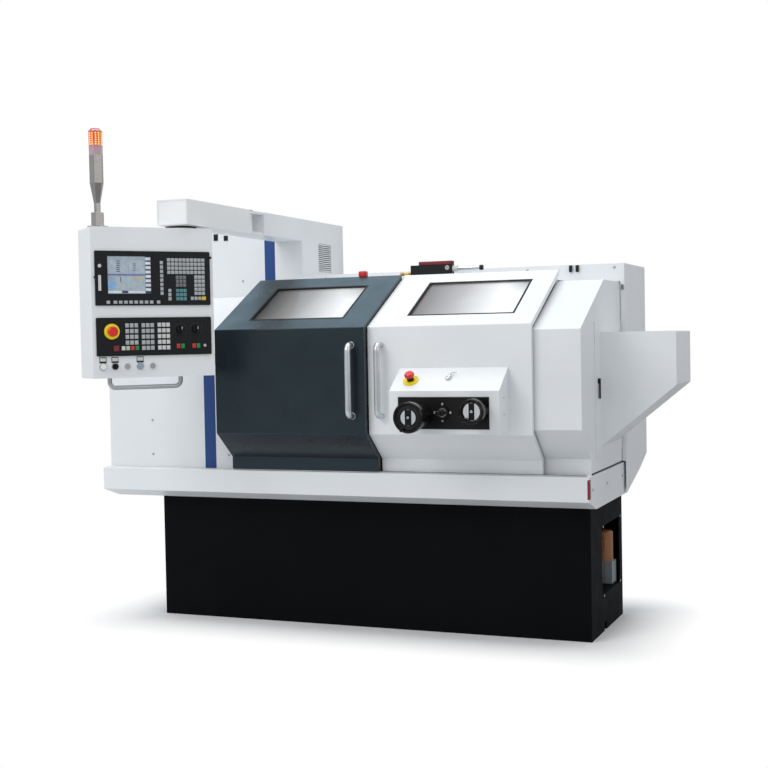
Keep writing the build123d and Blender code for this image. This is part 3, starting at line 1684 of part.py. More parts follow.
# Coolant tank behind the service opening, with the low sump at its end in which the pump stands
with BuildPart() as coolant_tank:
    tank_y = (end_opening_y - tank_width / 2, end_opening_y + tank_width / 2)
    sump_y = (tank_y[1] - sump_width, tank_y[1])
    block((tank_left, tank_right), tank_y, (tank_low, tank_high))
    block((tank_right, sump_right), sump_y, (tank_low, sump_high))
    for rib in (1, 2):
        rib_x = sump_right - rib * sump_width / 3
        block((rib_x - tank_sheet, rib_x + tank_sheet), (sump_y[0] - tank_sheet, sump_y[0]), (tank_low, sump_high))
    block(
        (tank_left + tank_sheet, tank_right - tank_sheet),
        (tank_y[0] + tank_sheet, tank_y[1] - tank_sheet),
        (tank_low + tank_sheet, tank_high),
        Mode.SUBTRACT,
    )
    block(
        (tank_right - tank_sheet, sump_right - tank_sheet),
        (sump_y[0] + tank_sheet, sump_y[1] - tank_sheet),
        (tank_low + tank_sheet, sump_high - tank_sheet),
        Mode.SUBTRACT,
    )
    baffle_x = tank_left + tank_baffle
    block((baffle_x, baffle_x + tank_sheet), (tank_y[0], tank_y[1] - 60), (tank_low, tank_high - 30))
    pump_x = sump_right - sump_width / 2
    pump_y = (sump_y[0] + sump_y[1]) / 2
    rod_z(pump_x, pump_y, sump_high - tank_sheet, sump_high, pump_neck + 2, Mode.SUBTRACT)
finish(coolant_tank.part, "coolant_tank")

with BuildPart() as coolant_pump:
    motor_foot = sump_high + pump_flange
    rod_z(pump_x, pump_y, tank_low + 30, sump_high, pump_neck)
    rod_z(pump_x, pump_y, sump_high, motor_foot, pump_radius + pump_rim)
    rod_z(pump_x, pump_y, motor_foot, motor_foot + pump_height, pump_radius)
    chamfer(coolant_pump.edges().group_by(Axis.Z)[-1], 6)
    block(
        (pump_x - 26, pump_x + 14),
        (pump_y - pump_radius - 12, pump_y - pump_radius + 12),
        (motor_foot + 50, motor_foot + 92),
    )
finish(coolant_pump.part, "coolant_pump")
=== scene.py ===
from math import cos, hypot, pi, radians, sin

import bpy
from mathutils import Matrix, Vector


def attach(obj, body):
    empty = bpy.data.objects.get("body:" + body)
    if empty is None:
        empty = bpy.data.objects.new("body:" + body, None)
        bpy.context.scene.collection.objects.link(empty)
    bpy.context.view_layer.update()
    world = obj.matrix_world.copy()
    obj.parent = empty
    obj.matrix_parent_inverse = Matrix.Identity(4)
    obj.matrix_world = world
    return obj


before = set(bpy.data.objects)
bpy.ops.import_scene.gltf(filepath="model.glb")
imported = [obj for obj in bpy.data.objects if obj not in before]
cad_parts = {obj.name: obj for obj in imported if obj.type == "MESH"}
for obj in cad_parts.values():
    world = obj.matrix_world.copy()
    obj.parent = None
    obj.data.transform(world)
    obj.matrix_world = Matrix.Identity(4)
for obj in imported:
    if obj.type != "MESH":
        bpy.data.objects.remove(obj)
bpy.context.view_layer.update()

print("frame loaded:", len(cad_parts), "nodes")


# shared helpers for modelling by hand

def deselectAll():
    bpy.ops.object.select_all(action="DESELECT")


def settle(piece):
    # leaves the place in the mesh and the object at the origin
    deselectAll()
    piece.select_set(True)
    bpy.context.view_layer.objects.active = piece
    bpy.ops.object.transform_apply(location=True, rotation=True, scale=True)


def startBlock(name, size, centre=(0, 0, 0)):
    deselectAll()
    bpy.ops.mesh.primitive_cube_add(size=1, location=centre)
    piece = bpy.context.active_object
    piece.name = name
    piece.scale = size
    settle(piece)
    return piece


def startSlab(name, width, length, height):
    # a block whose foot is at the origin
    return startBlock(name, (width, length, height), (0, 0, height / 2))


def startRound(name, radius, height, sides=32, centre=(0, 0, 0)):
    # the foot of the cylinder is at the given centre
    deselectAll()
    place = (centre[0], centre[1], centre[2] + height / 2)
    bpy.ops.mesh.primitive_cylinder_add(radius=radius, depth=height, vertices=sides, location=place)
    piece = bpy.context.active_object
    piece.name = name
    settle(piece)
    return piece


def editFaces(piece, wanted, action):
    # selects the faces that pass the test and runs the action on them in edit mode
    deselectAll()
    piece.select_set(True)
    bpy.context.view_layer.objects.active = piece
    bpy.ops.object.mode_set(mode="EDIT")
    bpy.ops.mesh.select_mode(type="FACE")
    bpy.ops.mesh.select_all(action="DESELECT")
    bpy.ops.object.mode_set(mode="OBJECT")
    for face in piece.data.polygons:
        face.select = wanted(face)
    bpy.ops.object.mode_set(mode="EDIT")
    action()
    bpy.ops.object.mode_set(mode="OBJECT")


def insetAndSink(piece, wanted, rim, depth):
    # a recess in the chosen faces, or a raised field with a depth below zero
    def shape():
        bpy.ops.mesh.inset(thickness=rim)
        bpy.ops.mesh.extrude_region_shrink_fatten(TRANSFORM_OT_shrink_fatten={"value": -depth})
    editFaces(piece, wanted, shape)


def insetAndTaper(piece, wanted, rim, rise):
    # the middle of the chosen faces is raised, with a sloped rim round it
    def shape():
        bpy.ops.mesh.inset(thickness=rim)
        bpy.ops.transform.translate(value=(0, 0, rise))
    editFaces(piece, wanted, shape)


def facesUp(face):
    return face.normal.z > 0.9


def facesAtEnds(face):
    return abs(face.normal.z) > 0.9


def facesFront(face):
    return face.normal.y < -0.9


def openRing(ring, rim):
    # takes out the middle of both ends and closes the walls between the two holes
    def openEnds():
        bpy.ops.mesh.inset(thickness=rim)
        bpy.ops.mesh.delete(type="FACE")
        bpy.ops.mesh.select_mode(type="EDGE")
        bpy.ops.mesh.select_all(action="DESELECT")
        bpy.ops.mesh.select_non_manifold()
        bpy.ops.mesh.bridge_edge_loops()
        bpy.ops.mesh.select_all(action="SELECT")
        bpy.ops.mesh.normals_make_consistent(inside=False)
    editFaces(ring, facesAtEnds, openEnds)
    return ring


def openTube(name, outer, inner, height):
    # a turned ring
    return openRing(startRound(name, outer, height, sides=40), outer - inner)


def frameRing(name, width, length, rim, height):
    # a flat four-sided ring
    return openRing(startSlab(name, width, length, height), rim)


def softenEdges(piece, width, steps=2):
    bevel = piece.modifiers.new("softEdge", "BEVEL")
    bevel.width = width
    bevel.segments = steps
    bevel.limit_method = "ANGLE"
    bevel.angle_limit = radians(40)
    deselectAll()
    piece.select_set(True)
    bpy.context.view_layer.objects.active = piece
    bpy.ops.object.modifier_apply(modifier=bevel.name)
    bpy.ops.object.shade_smooth_by_angle(angle=radians(35))
    return piece


def placedCopy(piece, name, place):
    # a copy with a mesh of its own
    copy = piece.copy()
    copy.data = piece.data.copy()
    copy.name = name
    copy.data.transform(place)
    bpy.context.collection.objects.link(copy)
    return copy


def moveMesh(piece, place):
    piece.data.transform(place)
    return piece


def joined(pieces, name):
    deselectAll()
    for piece in pieces:
        piece.select_set(True)
    bpy.context.view_layer.objects.active = pieces[0]
    if len(pieces) > 1:
        bpy.ops.object.join()
    whole = bpy.context.active_object
    whole.name = name
    return whole


def discard(piece):
    bpy.data.objects.remove(piece)


def facing(origin, xAxis, zAxis):
    # a place whose z points out of the surface and whose x runs along it
    z = Vector(zAxis).normalized()
    x = Vector(xAxis).normalized()
    y = z.cross(x)
    place = Matrix((x, y, z)).transposed().to_4x4()
    place.translation = Vector(origin)
    return place


def onFront(x, y, z):
    return facing((x, y, z), (1, 0, 0), (0, -1, 0))


def onRight(x, y, z):
    return facing((x, y, z), (0, 1, 0), (1, 0, 0))


def onBack(x, y, z):
    return facing((x, y, z), (-1, 0, 0), (0, 1, 0))


def finishPiece(piece, material, body):
    piece.data.materials.clear()
    piece.data.materials.append(material)
    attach(piece, body)
    return piece


def fitPiece(piece, place, material, body, soft=0.0008, steps=1):
    # a piece modelled at the origin gets soft edges, its place and its finish
    return finishPiece(moveMesh(softenEdges(piece, soft, steps), place), material, body)


# materials

def shade(red, green, blue):
    # screen colour, 0 to 255, as the linear colour that a shader takes
    linear = []
    for value in (red, green, blue):
        part = value / 255
        linear.append(part / 12.92 if part <= 0.04045 else ((part + 0.055) / 1.055) ** 2.4)
    return (*linear, 1)


def newFinish(name, metallic=0.0, coat=0.0, shine=0.5):
    finish = bpy.data.materials.new(name)
    finish.use_nodes = True
    shader = finish.node_tree.nodes["Principled BSDF"]
    shader.inputs["Metallic"].default_value = metallic
    shader.inputs["Coat Weight"].default_value = coat
    shader.inputs["Specular IOR Level"].default_value = shine
    return finish, shader


def objectPoint(finish):
    return finish.node_tree.nodes.new("ShaderNodeTexCoord").outputs["Object"]


def objectAxes(finish):
    split = finish.node_tree.nodes.new("ShaderNodeSeparateXYZ")
    finish.node_tree.links.new(objectPoint(finish), split.inputs["Vector"])
    return split.outputs


def noisePattern(finish, scale, detail, stretch=(1, 1, 1)):
    nodes, links = finish.node_tree.nodes, finish.node_tree.links
    mapping = nodes.new("ShaderNodeMapping")
    mapping.inputs["Scale"].default_value = stretch
    links.new(objectPoint(finish), mapping.inputs["Vector"])
    texture = nodes.new("ShaderNodeTexNoise")
    texture.inputs["Scale"].default_value = scale
    texture.inputs["Detail"].default_value = detail
    links.new(mapping.outputs["Vector"], texture.inputs["Vector"])
    return texture.outputs["Fac"]


def setInput(finish, socket, value):
    # a number or colour stays on the socket, and another node's result is linked to it
    if isinstance(value, bpy.types.NodeSocket):
        finish.node_tree.links.new(value, socket)
    else:
        socket.default_value = value


def mathResult(finish, operation, *values, kind="ShaderNodeMath"):
    node = finish.node_tree.nodes.new(kind)
    node.operation = operation
    for socket, value in zip(node.inputs, values):
        setInput(finish, socket, value)
    isNumber = kind == "ShaderNodeMath" or operation in ("LENGTH", "DISTANCE")
    return node.outputs["Value" if isNumber else "Vector"]


def vectorResult(finish, operation, *values):
    return mathResult(finish, operation, *values, kind="ShaderNodeVectorMath")


def mixedColour(finish, factor, first, second):
    mix = finish.node_tree.nodes.new("ShaderNodeMix")
    mix.data_type = "RGBA"
    for name, value in (("Factor", factor), ("A", first), ("B", second)):
        setInput(finish, mix.inputs[name], value)
    return mix.outputs["Result"]


def ramp(finish, factor, stops):
    nodes, links = finish.node_tree.nodes, finish.node_tree.links
    colours = nodes.new("ShaderNodeValToRGB")
    band = colours.color_ramp.elements
    band[0].position, band[0].color = stops[0]
    band[1].position, band[1].color = stops[-1]
    for position, colour in stops[1:-1]:
        stop = band.new(position)
        stop.color = colour
    links.new(factor, colours.inputs["Fac"])
    return colours.outputs["Color"]


def spread(finish, factor, low, high, fromLow=0.3, fromHigh=0.7):
    # stretches a factor, which for noise lies mostly between 0.3 and 0.7, over other values
    nodes, links = finish.node_tree.nodes, finish.node_tree.links
    remap = nodes.new("ShaderNodeMapRange")
    remap.inputs["From Min"].default_value = fromLow
    remap.inputs["From Max"].default_value = fromHigh
    remap.inputs["To Min"].default_value = low
    remap.inputs["To Max"].default_value = high
    links.new(factor, remap.inputs["Value"])
    return remap.outputs["Result"]


def addBump(finish, shader, factor, strength, distance):
    nodes, links = finish.node_tree.nodes, finish.node_tree.links
    bump = nodes.new("ShaderNodeBump")
    bump.inputs["Strength"].default_value = strength
    bump.inputs["Distance"].default_value = distance
    links.new(factor, bump.inputs["Height"])
    links.new(bump.outputs["Normal"], shader.inputs["Normal"])


def darker(colour, by):
    return (colour[0] * by, colour[1] * by, colour[2] * by, 1)


def enamel(name, colour, rough=0.42, grain=900, depth=0.00008, variation=0.94, coat=0.12, shine=0.5):
    # sprayed enamel: a fine orange peel, with faint cloudy wear in tone and gloss
    finish, shader = newFinish(name, coat=coat, shine=shine)
    links = finish.node_tree.links
    clouds = noisePattern(finish, 2.3, 6)
    tone = ramp(finish, clouds, [(0.3, darker(colour, variation)), (0.7, colour)])
    links.new(tone, shader.inputs["Base Color"])
    smears = noisePattern(finish, 9, 5)
    links.new(spread(finish, smears, rough - 0.05, rough + 0.07), shader.inputs["Roughness"])
    peel = noisePattern(finish, grain, 2)
    addBump(finish, shader, peel, 0.35, depth)
    return finish


def stripedEnamel(name, colour, stripeColour, stripe):
    # enamel with one upright band of another colour
    finish = enamel(name, colour)
    shader = finish.node_tree.nodes["Principled BSDF"]
    ground = shader.inputs["Base Color"].links[0].from_socket
    axes = objectAxes(finish)
    middle = (stripe["left"] + stripe["right"]) / 2
    away = mathResult(finish, "ABSOLUTE", mathResult(finish, "SUBTRACT", axes["X"], middle))
    inside = mathResult(finish, "LESS_THAN", away, (stripe["right"] - stripe["left"]) / 2)
    front = mathResult(finish, "LESS_THAN", axes["Y"], stripe["behind"])
    both = mathResult(finish, "MULTIPLY", inside, front)
    finish.node_tree.links.new(mixedColour(finish, both, ground, stripeColour), shader.inputs["Base Color"])
    return finish


def moulded(name, colour, rough=0.5, grain=1400, coat=0.0, shine=0.5):
    # moulded plastic with a fine grain
    finish, shader = newFinish(name, coat=coat, shine=shine)
    links = finish.node_tree.links
    tone = noisePattern(finish, 14, 4)
    links.new(ramp(finish, tone, [(0.3, darker(colour, 0.88)), (0.7, colour)]), shader.inputs["Base Color"])
    links.new(spread(finish, tone, rough - 0.05, rough + 0.08), shader.inputs["Roughness"])
    grainPattern = noisePattern(finish, grain, 1)
    addBump(finish, shader, grainPattern, 0.25, 0.00006)
    return finish


def groundMetal(name, colour, rough=0.28, along="X", scale=260):
    # ground or brushed metal, with its fine lines along one direction
    finish, shader = newFinish(name, metallic=1.0)
    links = finish.node_tree.links
    stretch = {"X": (0.02, 1, 1), "Z": (1, 1, 0.02), "round": (1, 0.05, 0.05)}[along]
    lines = noisePattern(finish, scale, 3, stretch)
    stains = noisePattern(finish, 6, 6)
    links.new(ramp(finish, stains, [(0.3, darker(colour, 0.82)), (0.7, colour)]), shader.inputs["Base Color"])
    links.new(spread(finish, lines, rough - 0.08, rough + 0.12), shader.inputs["Roughness"])
    addBump(finish, shader, lines, 0.2, 0.00005)
    return finish


def castMetal(name, colour, rough=0.62):
    # rough cast skin with dark oily patches
    finish, shader = newFinish(name, metallic=0.75)
    links = finish.node_tree.links
    skin = noisePattern(finish, 140, 6)
    oil = noisePattern(finish, 5, 5)
    links.new(ramp(finish, oil, [(0.35, darker(colour, 0.65)), (0.65, colour)]), shader.inputs["Base Color"])
    links.new(spread(finish, oil, rough - 0.2, rough + 0.05), shader.inputs["Roughness"])
    addBump(finish, shader, skin, 0.5, 0.0004)
    return finish


glassLook = {"hazeScale": 4, "hazeShare": 0.12, "cornerShadeReach": 0.13, "cornerShadeTone": 0.42, "seeThrough": 0.1}


def paneWithPaintedReflection(name, low, high, left, right, corner):
    # pane whose colour runs from dark to near white along its length, a painted reflection, with painted
    # shade darkening it round one corner
    finish, shader = newFinish(name, shine=0.12)
    links = finish.node_tree.links
    # painted reflection: the colour runs from dark to near white along the pane, bent a little by the haze
    # noise, which also varies the gloss
    along = spread(finish, objectAxes(finish)["X"], 0, 1, left, right)
    haze = noisePattern(finish, glassLook["hazeScale"], 3)
    bent = mathResult(finish, "MULTIPLY_ADD", haze, glassLook["hazeShare"], along)
    middle = tuple(a * 0.6 + b * 0.4 for a, b in zip(low, high))
    colour = ramp(finish, bent, [(0.05, low), (0.5, middle), (0.9, high)])
    # painted shade: the pane's colour is darkened close to the given corner
    fromShadedCorner = vectorResult(finish, "DISTANCE", objectPoint(finish), corner)
    clear = spread(finish, fromShadedCorner, glassLook["cornerShadeTone"], 1, 0.0, glassLook["cornerShadeReach"])
    links.new(vectorResult(finish, "MULTIPLY", colour, clear), shader.inputs["Base Color"])
    links.new(spread(finish, haze, 0.06, 0.14), shader.inputs["Roughness"])
    shader.inputs["Alpha"].default_value = 1 - glassLook["seeThrough"]
    return finish


def lampLens(name, low, high, foot, head):
    # clear lens: it goes from a pale foot to the lit colour at its head
    finish, shader = newFinish(name, coat=0.5)
    links = finish.node_tree.links
    tone = ramp(finish, spread(finish, objectAxes(finish)["Z"], 0, 1, foot, head), [(0.0, low), (1.0, high)])
    links.new(tone, shader.inputs["Base Color"])
    links.new(tone, shader.inputs["Emission Color"])
    shader.inputs["Emission Strength"].default_value = 0.15
    ribs = noisePattern(finish, 300, 2, (1, 1, 0.05))
    links.new(spread(finish, ribs, 0.12, 0.3), shader.inputs["Roughness"])
    return finish


def glowing(name, colour, strength):
    # lit plastic that gives off a little of its own colour
    finish, shader = newFinish(name)
    links = finish.node_tree.links
    flicker = noisePattern(finish, 60, 2)
    tone = ramp(finish, flicker, [(0.3, darker(colour, 0.8)), (0.7, colour)])
    links.new(tone, shader.inputs["Base Color"])
    links.new(tone, shader.inputs["Emission Color"])
    shader.inputs["Emission Strength"].default_value = strength
    shader.inputs["Roughness"].default_value = 0.3
    return finish


stripes = {
    "cover": {"left": -0.7415, "right": -0.6847, "behind": 0.285},
    "cabinet": {"left": -0.752, "right": -0.695, "behind": 0.29},
}
coverPaint = shade(236, 239, 241)
stripePaint = shade(0, 62, 130)
coverWhite = enamel("coverEnamel", coverPaint)
boomWhite = enamel("boomEnamel", shade(244, 246, 247), variation=0.97)
stripedCover = stripedEnamel("stripedCover", coverPaint, stripePaint, stripes["cover"])
stripedCabinet = stripedEnamel("stripedCabinet", coverPaint, stripePaint, stripes["cabinet"])
doorGrey = enamel("doorEnamel", shade(20, 24, 30), rough=0.3, variation=0.85, coat=0.0, shine=0.6)
doorGrey.node_tree.nodes["Principled BSDF"].inputs["Specular Tint"].default_value = (0.64, 0.9, 1, 1)
standBlack = enamel("standEnamel", shade(13, 14, 16), rough=0.6, grain=500, depth=0.00012, variation=0.75,
                    coat=0.0, shine=0.05)
machineGrey = enamel("machineEnamel", shade(128, 134, 138), rough=0.4)
bronzeBrown = enamel("pumpEnamel", shade(150, 98, 62), rough=0.38)
fittingBlack = moulded("fittingPlastic", shade(20, 20, 22), rough=0.5, shine=0.3)
panelBlack = moulded("panelFilm", shade(19, 22, 26), rough=0.42, shine=0.25)
wheelBlack = moulded("wheelPlastic", shade(9, 9, 11), rough=0.2, shine=0.3)
plateBlack = moulded("plateFilm", shade(15, 13, 13), rough=0.32, shine=0.25)
rubberBlack = moulded("sealRubber", shade(30, 30, 31), rough=0.75, grain=600)
keyGrey = moulded("keyGrey", shade(176, 180, 182), rough=0.45)
keyWhite = moulded("keyWhite", shade(214, 215, 212), rough=0.4)
buttonWhite = moulded("buttonWhite", shade(244, 245, 245), rough=0.3)
blankGrey = moulded("blankGrey", shade(168, 170, 172), rough=0.45)
keyDim = moulded("keyDim", shade(120, 122, 126), rough=0.45)
keyTeal = moulded("keyTeal", shade(88, 142, 148), rough=0.45)
keyYellow = moulded("keyYellow", shade(232, 206, 30), rough=0.45)
keyRed = moulded("keyRed", shade(205, 40, 48), rough=0.4)
keyDimRed = moulded("keyDimRed", shade(120, 34, 38), rough=0.4)
keyPaleGreen = moulded("keyPaleGreen", shade(176, 206, 180), rough=0.4)
keyGreen = moulded("keyGreen", shade(20, 140, 72), rough=0.4)
signalRed = moulded("signalRed", shade(222, 30, 20), rough=0.3, coat=0.2)
darkRed = moulded("darkRedCover", shade(128, 28, 38), rough=0.4)
signalYellow = moulded("signalYellow", shade(250, 226, 20), rough=0.4)
lampRed = lampLens("lampLens", shade(168, 142, 150), shade(196, 76, 66), 2.035, 2.075)
ledGlow = glowing("lampLed", shade(255, 176, 84), 1.3)
litBlue = glowing("litBlue", shade(148, 164, 182), 0.1)
brightSteel = groundMetal("brightSteel", shade(206, 208, 210), rough=0.22)
spunSteel = groundMetal("spunSteel", shade(192, 194, 198), rough=0.26, along="round")
faceSteel = groundMetal("faceSteel", shade(226, 228, 230), rough=0.3, along="Z", scale=500)
tubeSteel = groundMetal("tubeSteel", shade(190, 192, 195), rough=0.3, along="X", scale=400)
lampAluminium = groundMetal("lampAluminium", shade(186, 182, 178), rough=0.2, along="Z")
ironCasting = castMetal("bedCasting", shade(112, 116, 118))
brassTurned = groundMetal("brassTurned", shade(196, 158, 84), rough=0.25)
handleSilver = groundMetal("handleSilver", shade(222, 225, 229), rough=0.36, along="Z")
# both door panes carry a painted reflection from dark to near white, and painted shade at the given corner
darkPane = paneWithPaintedReflection("darkDoorPane", shade(10, 2, 2), shade(240, 238, 236), -0.46, 0.03,
                       (0.004, -0.20, 1.485))
lightPane = paneWithPaintedReflection("lightDoorPane", shade(104, 94, 92), shade(250, 249, 248), 0.25, 0.70,
                        (0.735, -0.155, 1.495))
printWhite = moulded("printWhite", shade(236, 238, 240), rough=0.5)
print("materials ready")


# finishes of the parts that show as they come

nodeFinishes = {
    "base": standBlack, "tray": coverWhite, "headstock_cover": stripedCover, "right_end_panel": coverWhite,
    "enclosure_roof": coverWhite, "rear_guard": coverWhite, "electrical_cabinet": stripedCabinet,
    "door_interlock": fittingBlack, "bed": ironCasting, "headstock": machineGrey, "main_motor": machineGrey,
    "drive_belt": rubberBlack, "dark_door": doorGrey, "dark_door_window": darkPane,
    "dark_door_handle": handleSilver, "light_door": coverWhite, "light_door_window": lightPane,
    "light_door_handle": handleSilver, "control_box": coverWhite, "handwheel_plate": plateBlack,
    "box_estop_button": signalRed, "z_handwheel": wheelBlack, "x_handwheel": wheelBlack,
    "z_crank_grip": wheelBlack, "x_crank_grip": wheelBlack, "joystick_ring": brightSteel,
    "joystick_lever": wheelBlack, "end_door": coverWhite, "end_door_latch": fittingBlack,
    "cabinet_door": coverWhite, "cabinet_latch": fittingBlack, "main_switch": signalRed,
    "swing_arm": boomWhite, "pendant_housing": coverWhite, "display_panel": panelBlack,
    "machine_panel": panelBlack, "pendant_handle": tubeSteel, "signal_lamp": lampAluminium,
    "signal_lens": lampRed, "pendant_estop_button": signalRed, "feed_knob": wheelBlack,
    "speed_knob": wheelBlack, "mode_switch": wheelBlack, "start_button": buttonWhite, "lit_button": litBlue,
    "spindle": spunSteel, "chuck": spunSteel, "chuck_jaw_1": brightSteel, "chuck_jaw_2": brightSteel,
    "chuck_jaw_3": brightSteel, "motor_pulley": spunSteel, "z_ballscrew": spunSteel, "carriage": ironCasting,
    "cross_slide": ironCasting, "turret_disc": spunSteel, "tailstock": machineGrey, "tail_quill": spunSteel,
    "tail_handwheel": wheelBlack, "coolant_tank": machineGrey, "coolant_pump": bronzeBrown,
}
for nodeName, nodeFinish in nodeFinishes.items():
    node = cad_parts[nodeName]
    node.data.materials.clear()
    node.data.materials.append(nodeFinish)
print("parts painted")


# screws: one is modelled for each row and copied to its places

screw = {"head": 0.0055, "height": 0.003, "socket": 0.0028, "sink": 0.0018}


def modelScrew(scale=1.0):
    head = startRound("screwHead", screw["head"] * scale, screw["height"] * scale, sides=18)
    insetAndSink(head, facesUp, (screw["head"] - screw["socket"]) * scale, screw["sink"] * scale)
    return softenEdges(head, 0.0006 * scale, 1)


def screwsAt(name, places, body, finish=None, scale=1.0):
    pattern = modelScrew(scale)
    copies = [placedCopy(pattern, name, place) for place in places]
    discard(pattern)
    return finishPiece(joined(copies, name), finish or brightSteel, body)


# the face that each row of screws is in, their places and their scale
frameScrews = {
    "coverScrews": (onFront, [(-1.0127, -0.358, 0.899), (-1.0127, -0.358, 0.743),
                              (-0.6212, -0.358, 0.745)], 1.0),
    "cabinetScrews": (onFront, [(-0.874, 0.286, 1.549)], 1.0),
    "baseOpeningScrews": (onRight, [(1.0, -0.0815, 0.442), (1.0, 0.255, 0.445), (1.0, -0.075, 0.150),
                                    (1.0, 0.2455, 0.158)], 1.0),
    "guardScrews": (onFront, [(x, 0.238, 1.545) for x in (-0.4, 0.1, 0.6, 0.995)], 1.0),
    "guardBackScrews": (onBack, [(x, 0.700, z) for x in (-0.5, -0.1, 0.3, 0.7, 1.0)
                                 for z in (0.75, 1.5)], 1.3),
    "trayEndScrews": (onRight, [(1.025, y, 0.63) for y in (-0.36, -0.1, 0.2)], 1.0),
}
for name, (faceOf, places, scale) in frameScrews.items():
    screwsAt(name, [faceOf(*place) for place in places], "machine_frame", scale=scale)
print("screws placed")


# window seals

doorWindows = {
    "dark": {"body": "dark_sliding_door", "crease": (-0.555, 1.300), "top": (-0.117, 1.528),
             "x": -0.218, "width": 0.444, "low": 0.086, "length": 0.313},
    "light": {"body": "light_sliding_door", "crease": (-0.521, 1.300), "top": (-0.077, 1.528),
              "x": 0.504, "width": 0.458, "low": 0.094, "length": 0.317},
}
windowSeal = {"over": 0.004, "rim": 0.009, "height": 0.0045, "sunk": 0.0035}


def slopePlace(x, crease, top, upSlope, out=0.0):
    # a place on a sloped face, measured up from its crease
    run, rise = top[0] - crease[0], top[1] - crease[1]
    length = hypot(run, rise)
    normal = Vector((0, -rise / length, run / length))
    origin = Vector((x, crease[0] + run * upSlope / length, crease[1] + rise * upSlope / length))
    return facing(origin + normal * out, (1, 0, 0), normal)


for side, window in doorWindows.items():
    seal = frameRing(f"{side}WindowSeal", window["width"] + windowSeal["over"],
                     window["length"] + windowSeal["over"], windowSeal["rim"], windowSeal["height"])
    middle = window["low"] + window["length"] / 2
    place = slopePlace(window["x"], window["crease"], window["top"], middle, -windowSeal["sunk"])
    fitPiece(seal, place, rubberBlack, window["body"], 0.001)
print("window seals fitted")


# door handles: a foot ring at each end

handles = {
    "dark": {"body": "dark_sliding_door", "x": 0.070, "face": -0.555},
    "light": {"body": "light_sliding_door", "x": 0.186, "face": -0.521},
}
handleFoot = {"levels": (0.933, 1.226), "radius": 0.0145, "height": 0.003}
for side, handle in handles.items():
    feet = []
    for level in handleFoot["levels"]:
        foot = startRound("handleFoot", handleFoot["radius"], handleFoot["height"], sides=40)
        insetAndTaper(foot, facesUp, 0.003, 0.0015)
        feet.append(moveMesh(softenEdges(foot, 0.0006, 1), onFront(handle["x"], handle["face"], level)))
    finishPiece(joined(feet, f"{side}HandleFeet"), handleSilver, handle["body"])
print("handle feet fitted")


# tray: its plain red marker, the runner that the doors stand over, and a thin black strip at the foot of the
# end wall, a painted shadow of the gap there

trayTrim = {"rim": 0.685, "front": -0.422, "right": 1.025, "thin": 0.0012, "low": 0.597, "height": 0.078,
            "frontReach": 0.0065, "sideReach": 0.024}
thin = trayTrim["thin"]
markerMiddle = trayTrim["low"] + trayTrim["height"] / 2
markerFront = startBlock(
    "trayMarker", (trayTrim["frontReach"] + thin, thin, trayTrim["height"]),
    (trayTrim["right"] + (thin - trayTrim["frontReach"]) / 2, trayTrim["front"] - thin / 2, markerMiddle))
markerSide = startBlock(
    "trayMarker", (thin, trayTrim["sideReach"], trayTrim["height"]),
    (trayTrim["right"] + thin / 2, trayTrim["front"] + trayTrim["sideReach"] / 2, markerMiddle))
marker = joined([markerFront, markerSide], "trayMarker")
finishPiece(softenEdges(marker, 0.0003, 1), darkRed, "machine_frame")
markerScrew = onRight(trayTrim["right"] + 0.0008, trayTrim["front"] + trayTrim["sideReach"] / 2, 0.663)
screwsAt("markerScrew", [markerScrew], "machine_frame", scale=0.8)
ledge = startBlock("doorRunner", (1.58, 0.012, 0.006), (0.222, -0.402, trayTrim["rim"] + 0.002))
insetAndSink(ledge, facesUp, 0.003, 0.002)
finishPiece(ledge, brightSteel, "machine_frame")
# painted shadow: a thin black strip where the tray meets the end wall stands in for the shadow in the gap
# between them
endShadowStrip = startBlock("endWallShadowStrip", (0.0014, 0.57, 0.006), (1.0177, -0.055, trayTrim["rim"] + 0.0035))
finishPiece(softenEdges(endShadowStrip, 0.0004, 1), rubberBlack, "machine_frame")
print("tray trimmed")


# end wall and rear guard: stops over the roof, a clip, and seams that close the gaps at the corners

for x in (0.80, 0.83):
    stopBlock = startBlock("guardStop", (0.013, 0.012, 0.03), (x, 0.232, 1.545))
    finishPiece(softenEdges(stopBlock, 0.0015), fittingBlack, "machine_frame")
clip = startBlock("guardClip", (0.011, 0.004, 0.022), (1.0295, 0.236, 1.457))
insetAndSink(clip, facesFront, 0.003, 0.0015)
finishPiece(softenEdges(clip, 0.0008, 1), machineGrey, "machine_frame")
endSeam = {"x": 1.0177, "y": 0.2328, "thin": 0.0012, "wide": 0.010, "spans": ((0.695, 0.765), (1.302, 1.468))}
for low, high in endSeam["spans"]:
    seam = startBlock("endWallSeam", (endSeam["thin"], endSeam["wide"], high - low),
                      (endSeam["x"], endSeam["y"], (low + high) / 2))
    finishPiece(softenEdges(seam, 0.0003, 1), coverWhite, "machine_frame")
backSeam = startBlock("traySeam", (0.012, 0.0012, 0.115), (1.0315, 0.2852, 0.627))
finishPiece(softenEdges(backSeam, 0.0003, 1), coverWhite, "machine_frame")

# lip along the edge of the fixed end panel, which the light door slides over
panelLip = {"x": 0.8249, "wide": 0.0087, "thin": 0.001, "under": 0.0003,
            "bends": [(-0.344, 0.668), (-0.344, 0.751), (-0.494, 0.878), (-0.494, 1.276), (-0.08, 1.479)]}
lipStrips = []
for (startY, low), (endY, high) in zip(panelLip["bends"], panelLip["bends"][1:]):
    run = Vector((0, endY - startY, high - low))
    strip = startBlock("panelLip", (panelLip["wide"], run.length, panelLip["thin"]),
                       (0, 0, -panelLip["under"] - panelLip["thin"] / 2))
    place = facing((panelLip["x"], (startY + endY) / 2, (low + high) / 2), (1, 0, 0), (0, -run.z, run.y))
    lipStrips.append(moveMesh(strip, place))
finishPiece(joined(lipStrips, "panelLip"), coverWhite, "machine_frame")
print("end wall fitted")


# electrical cabinet: two black cover plugs on the front and the plate of its main switch

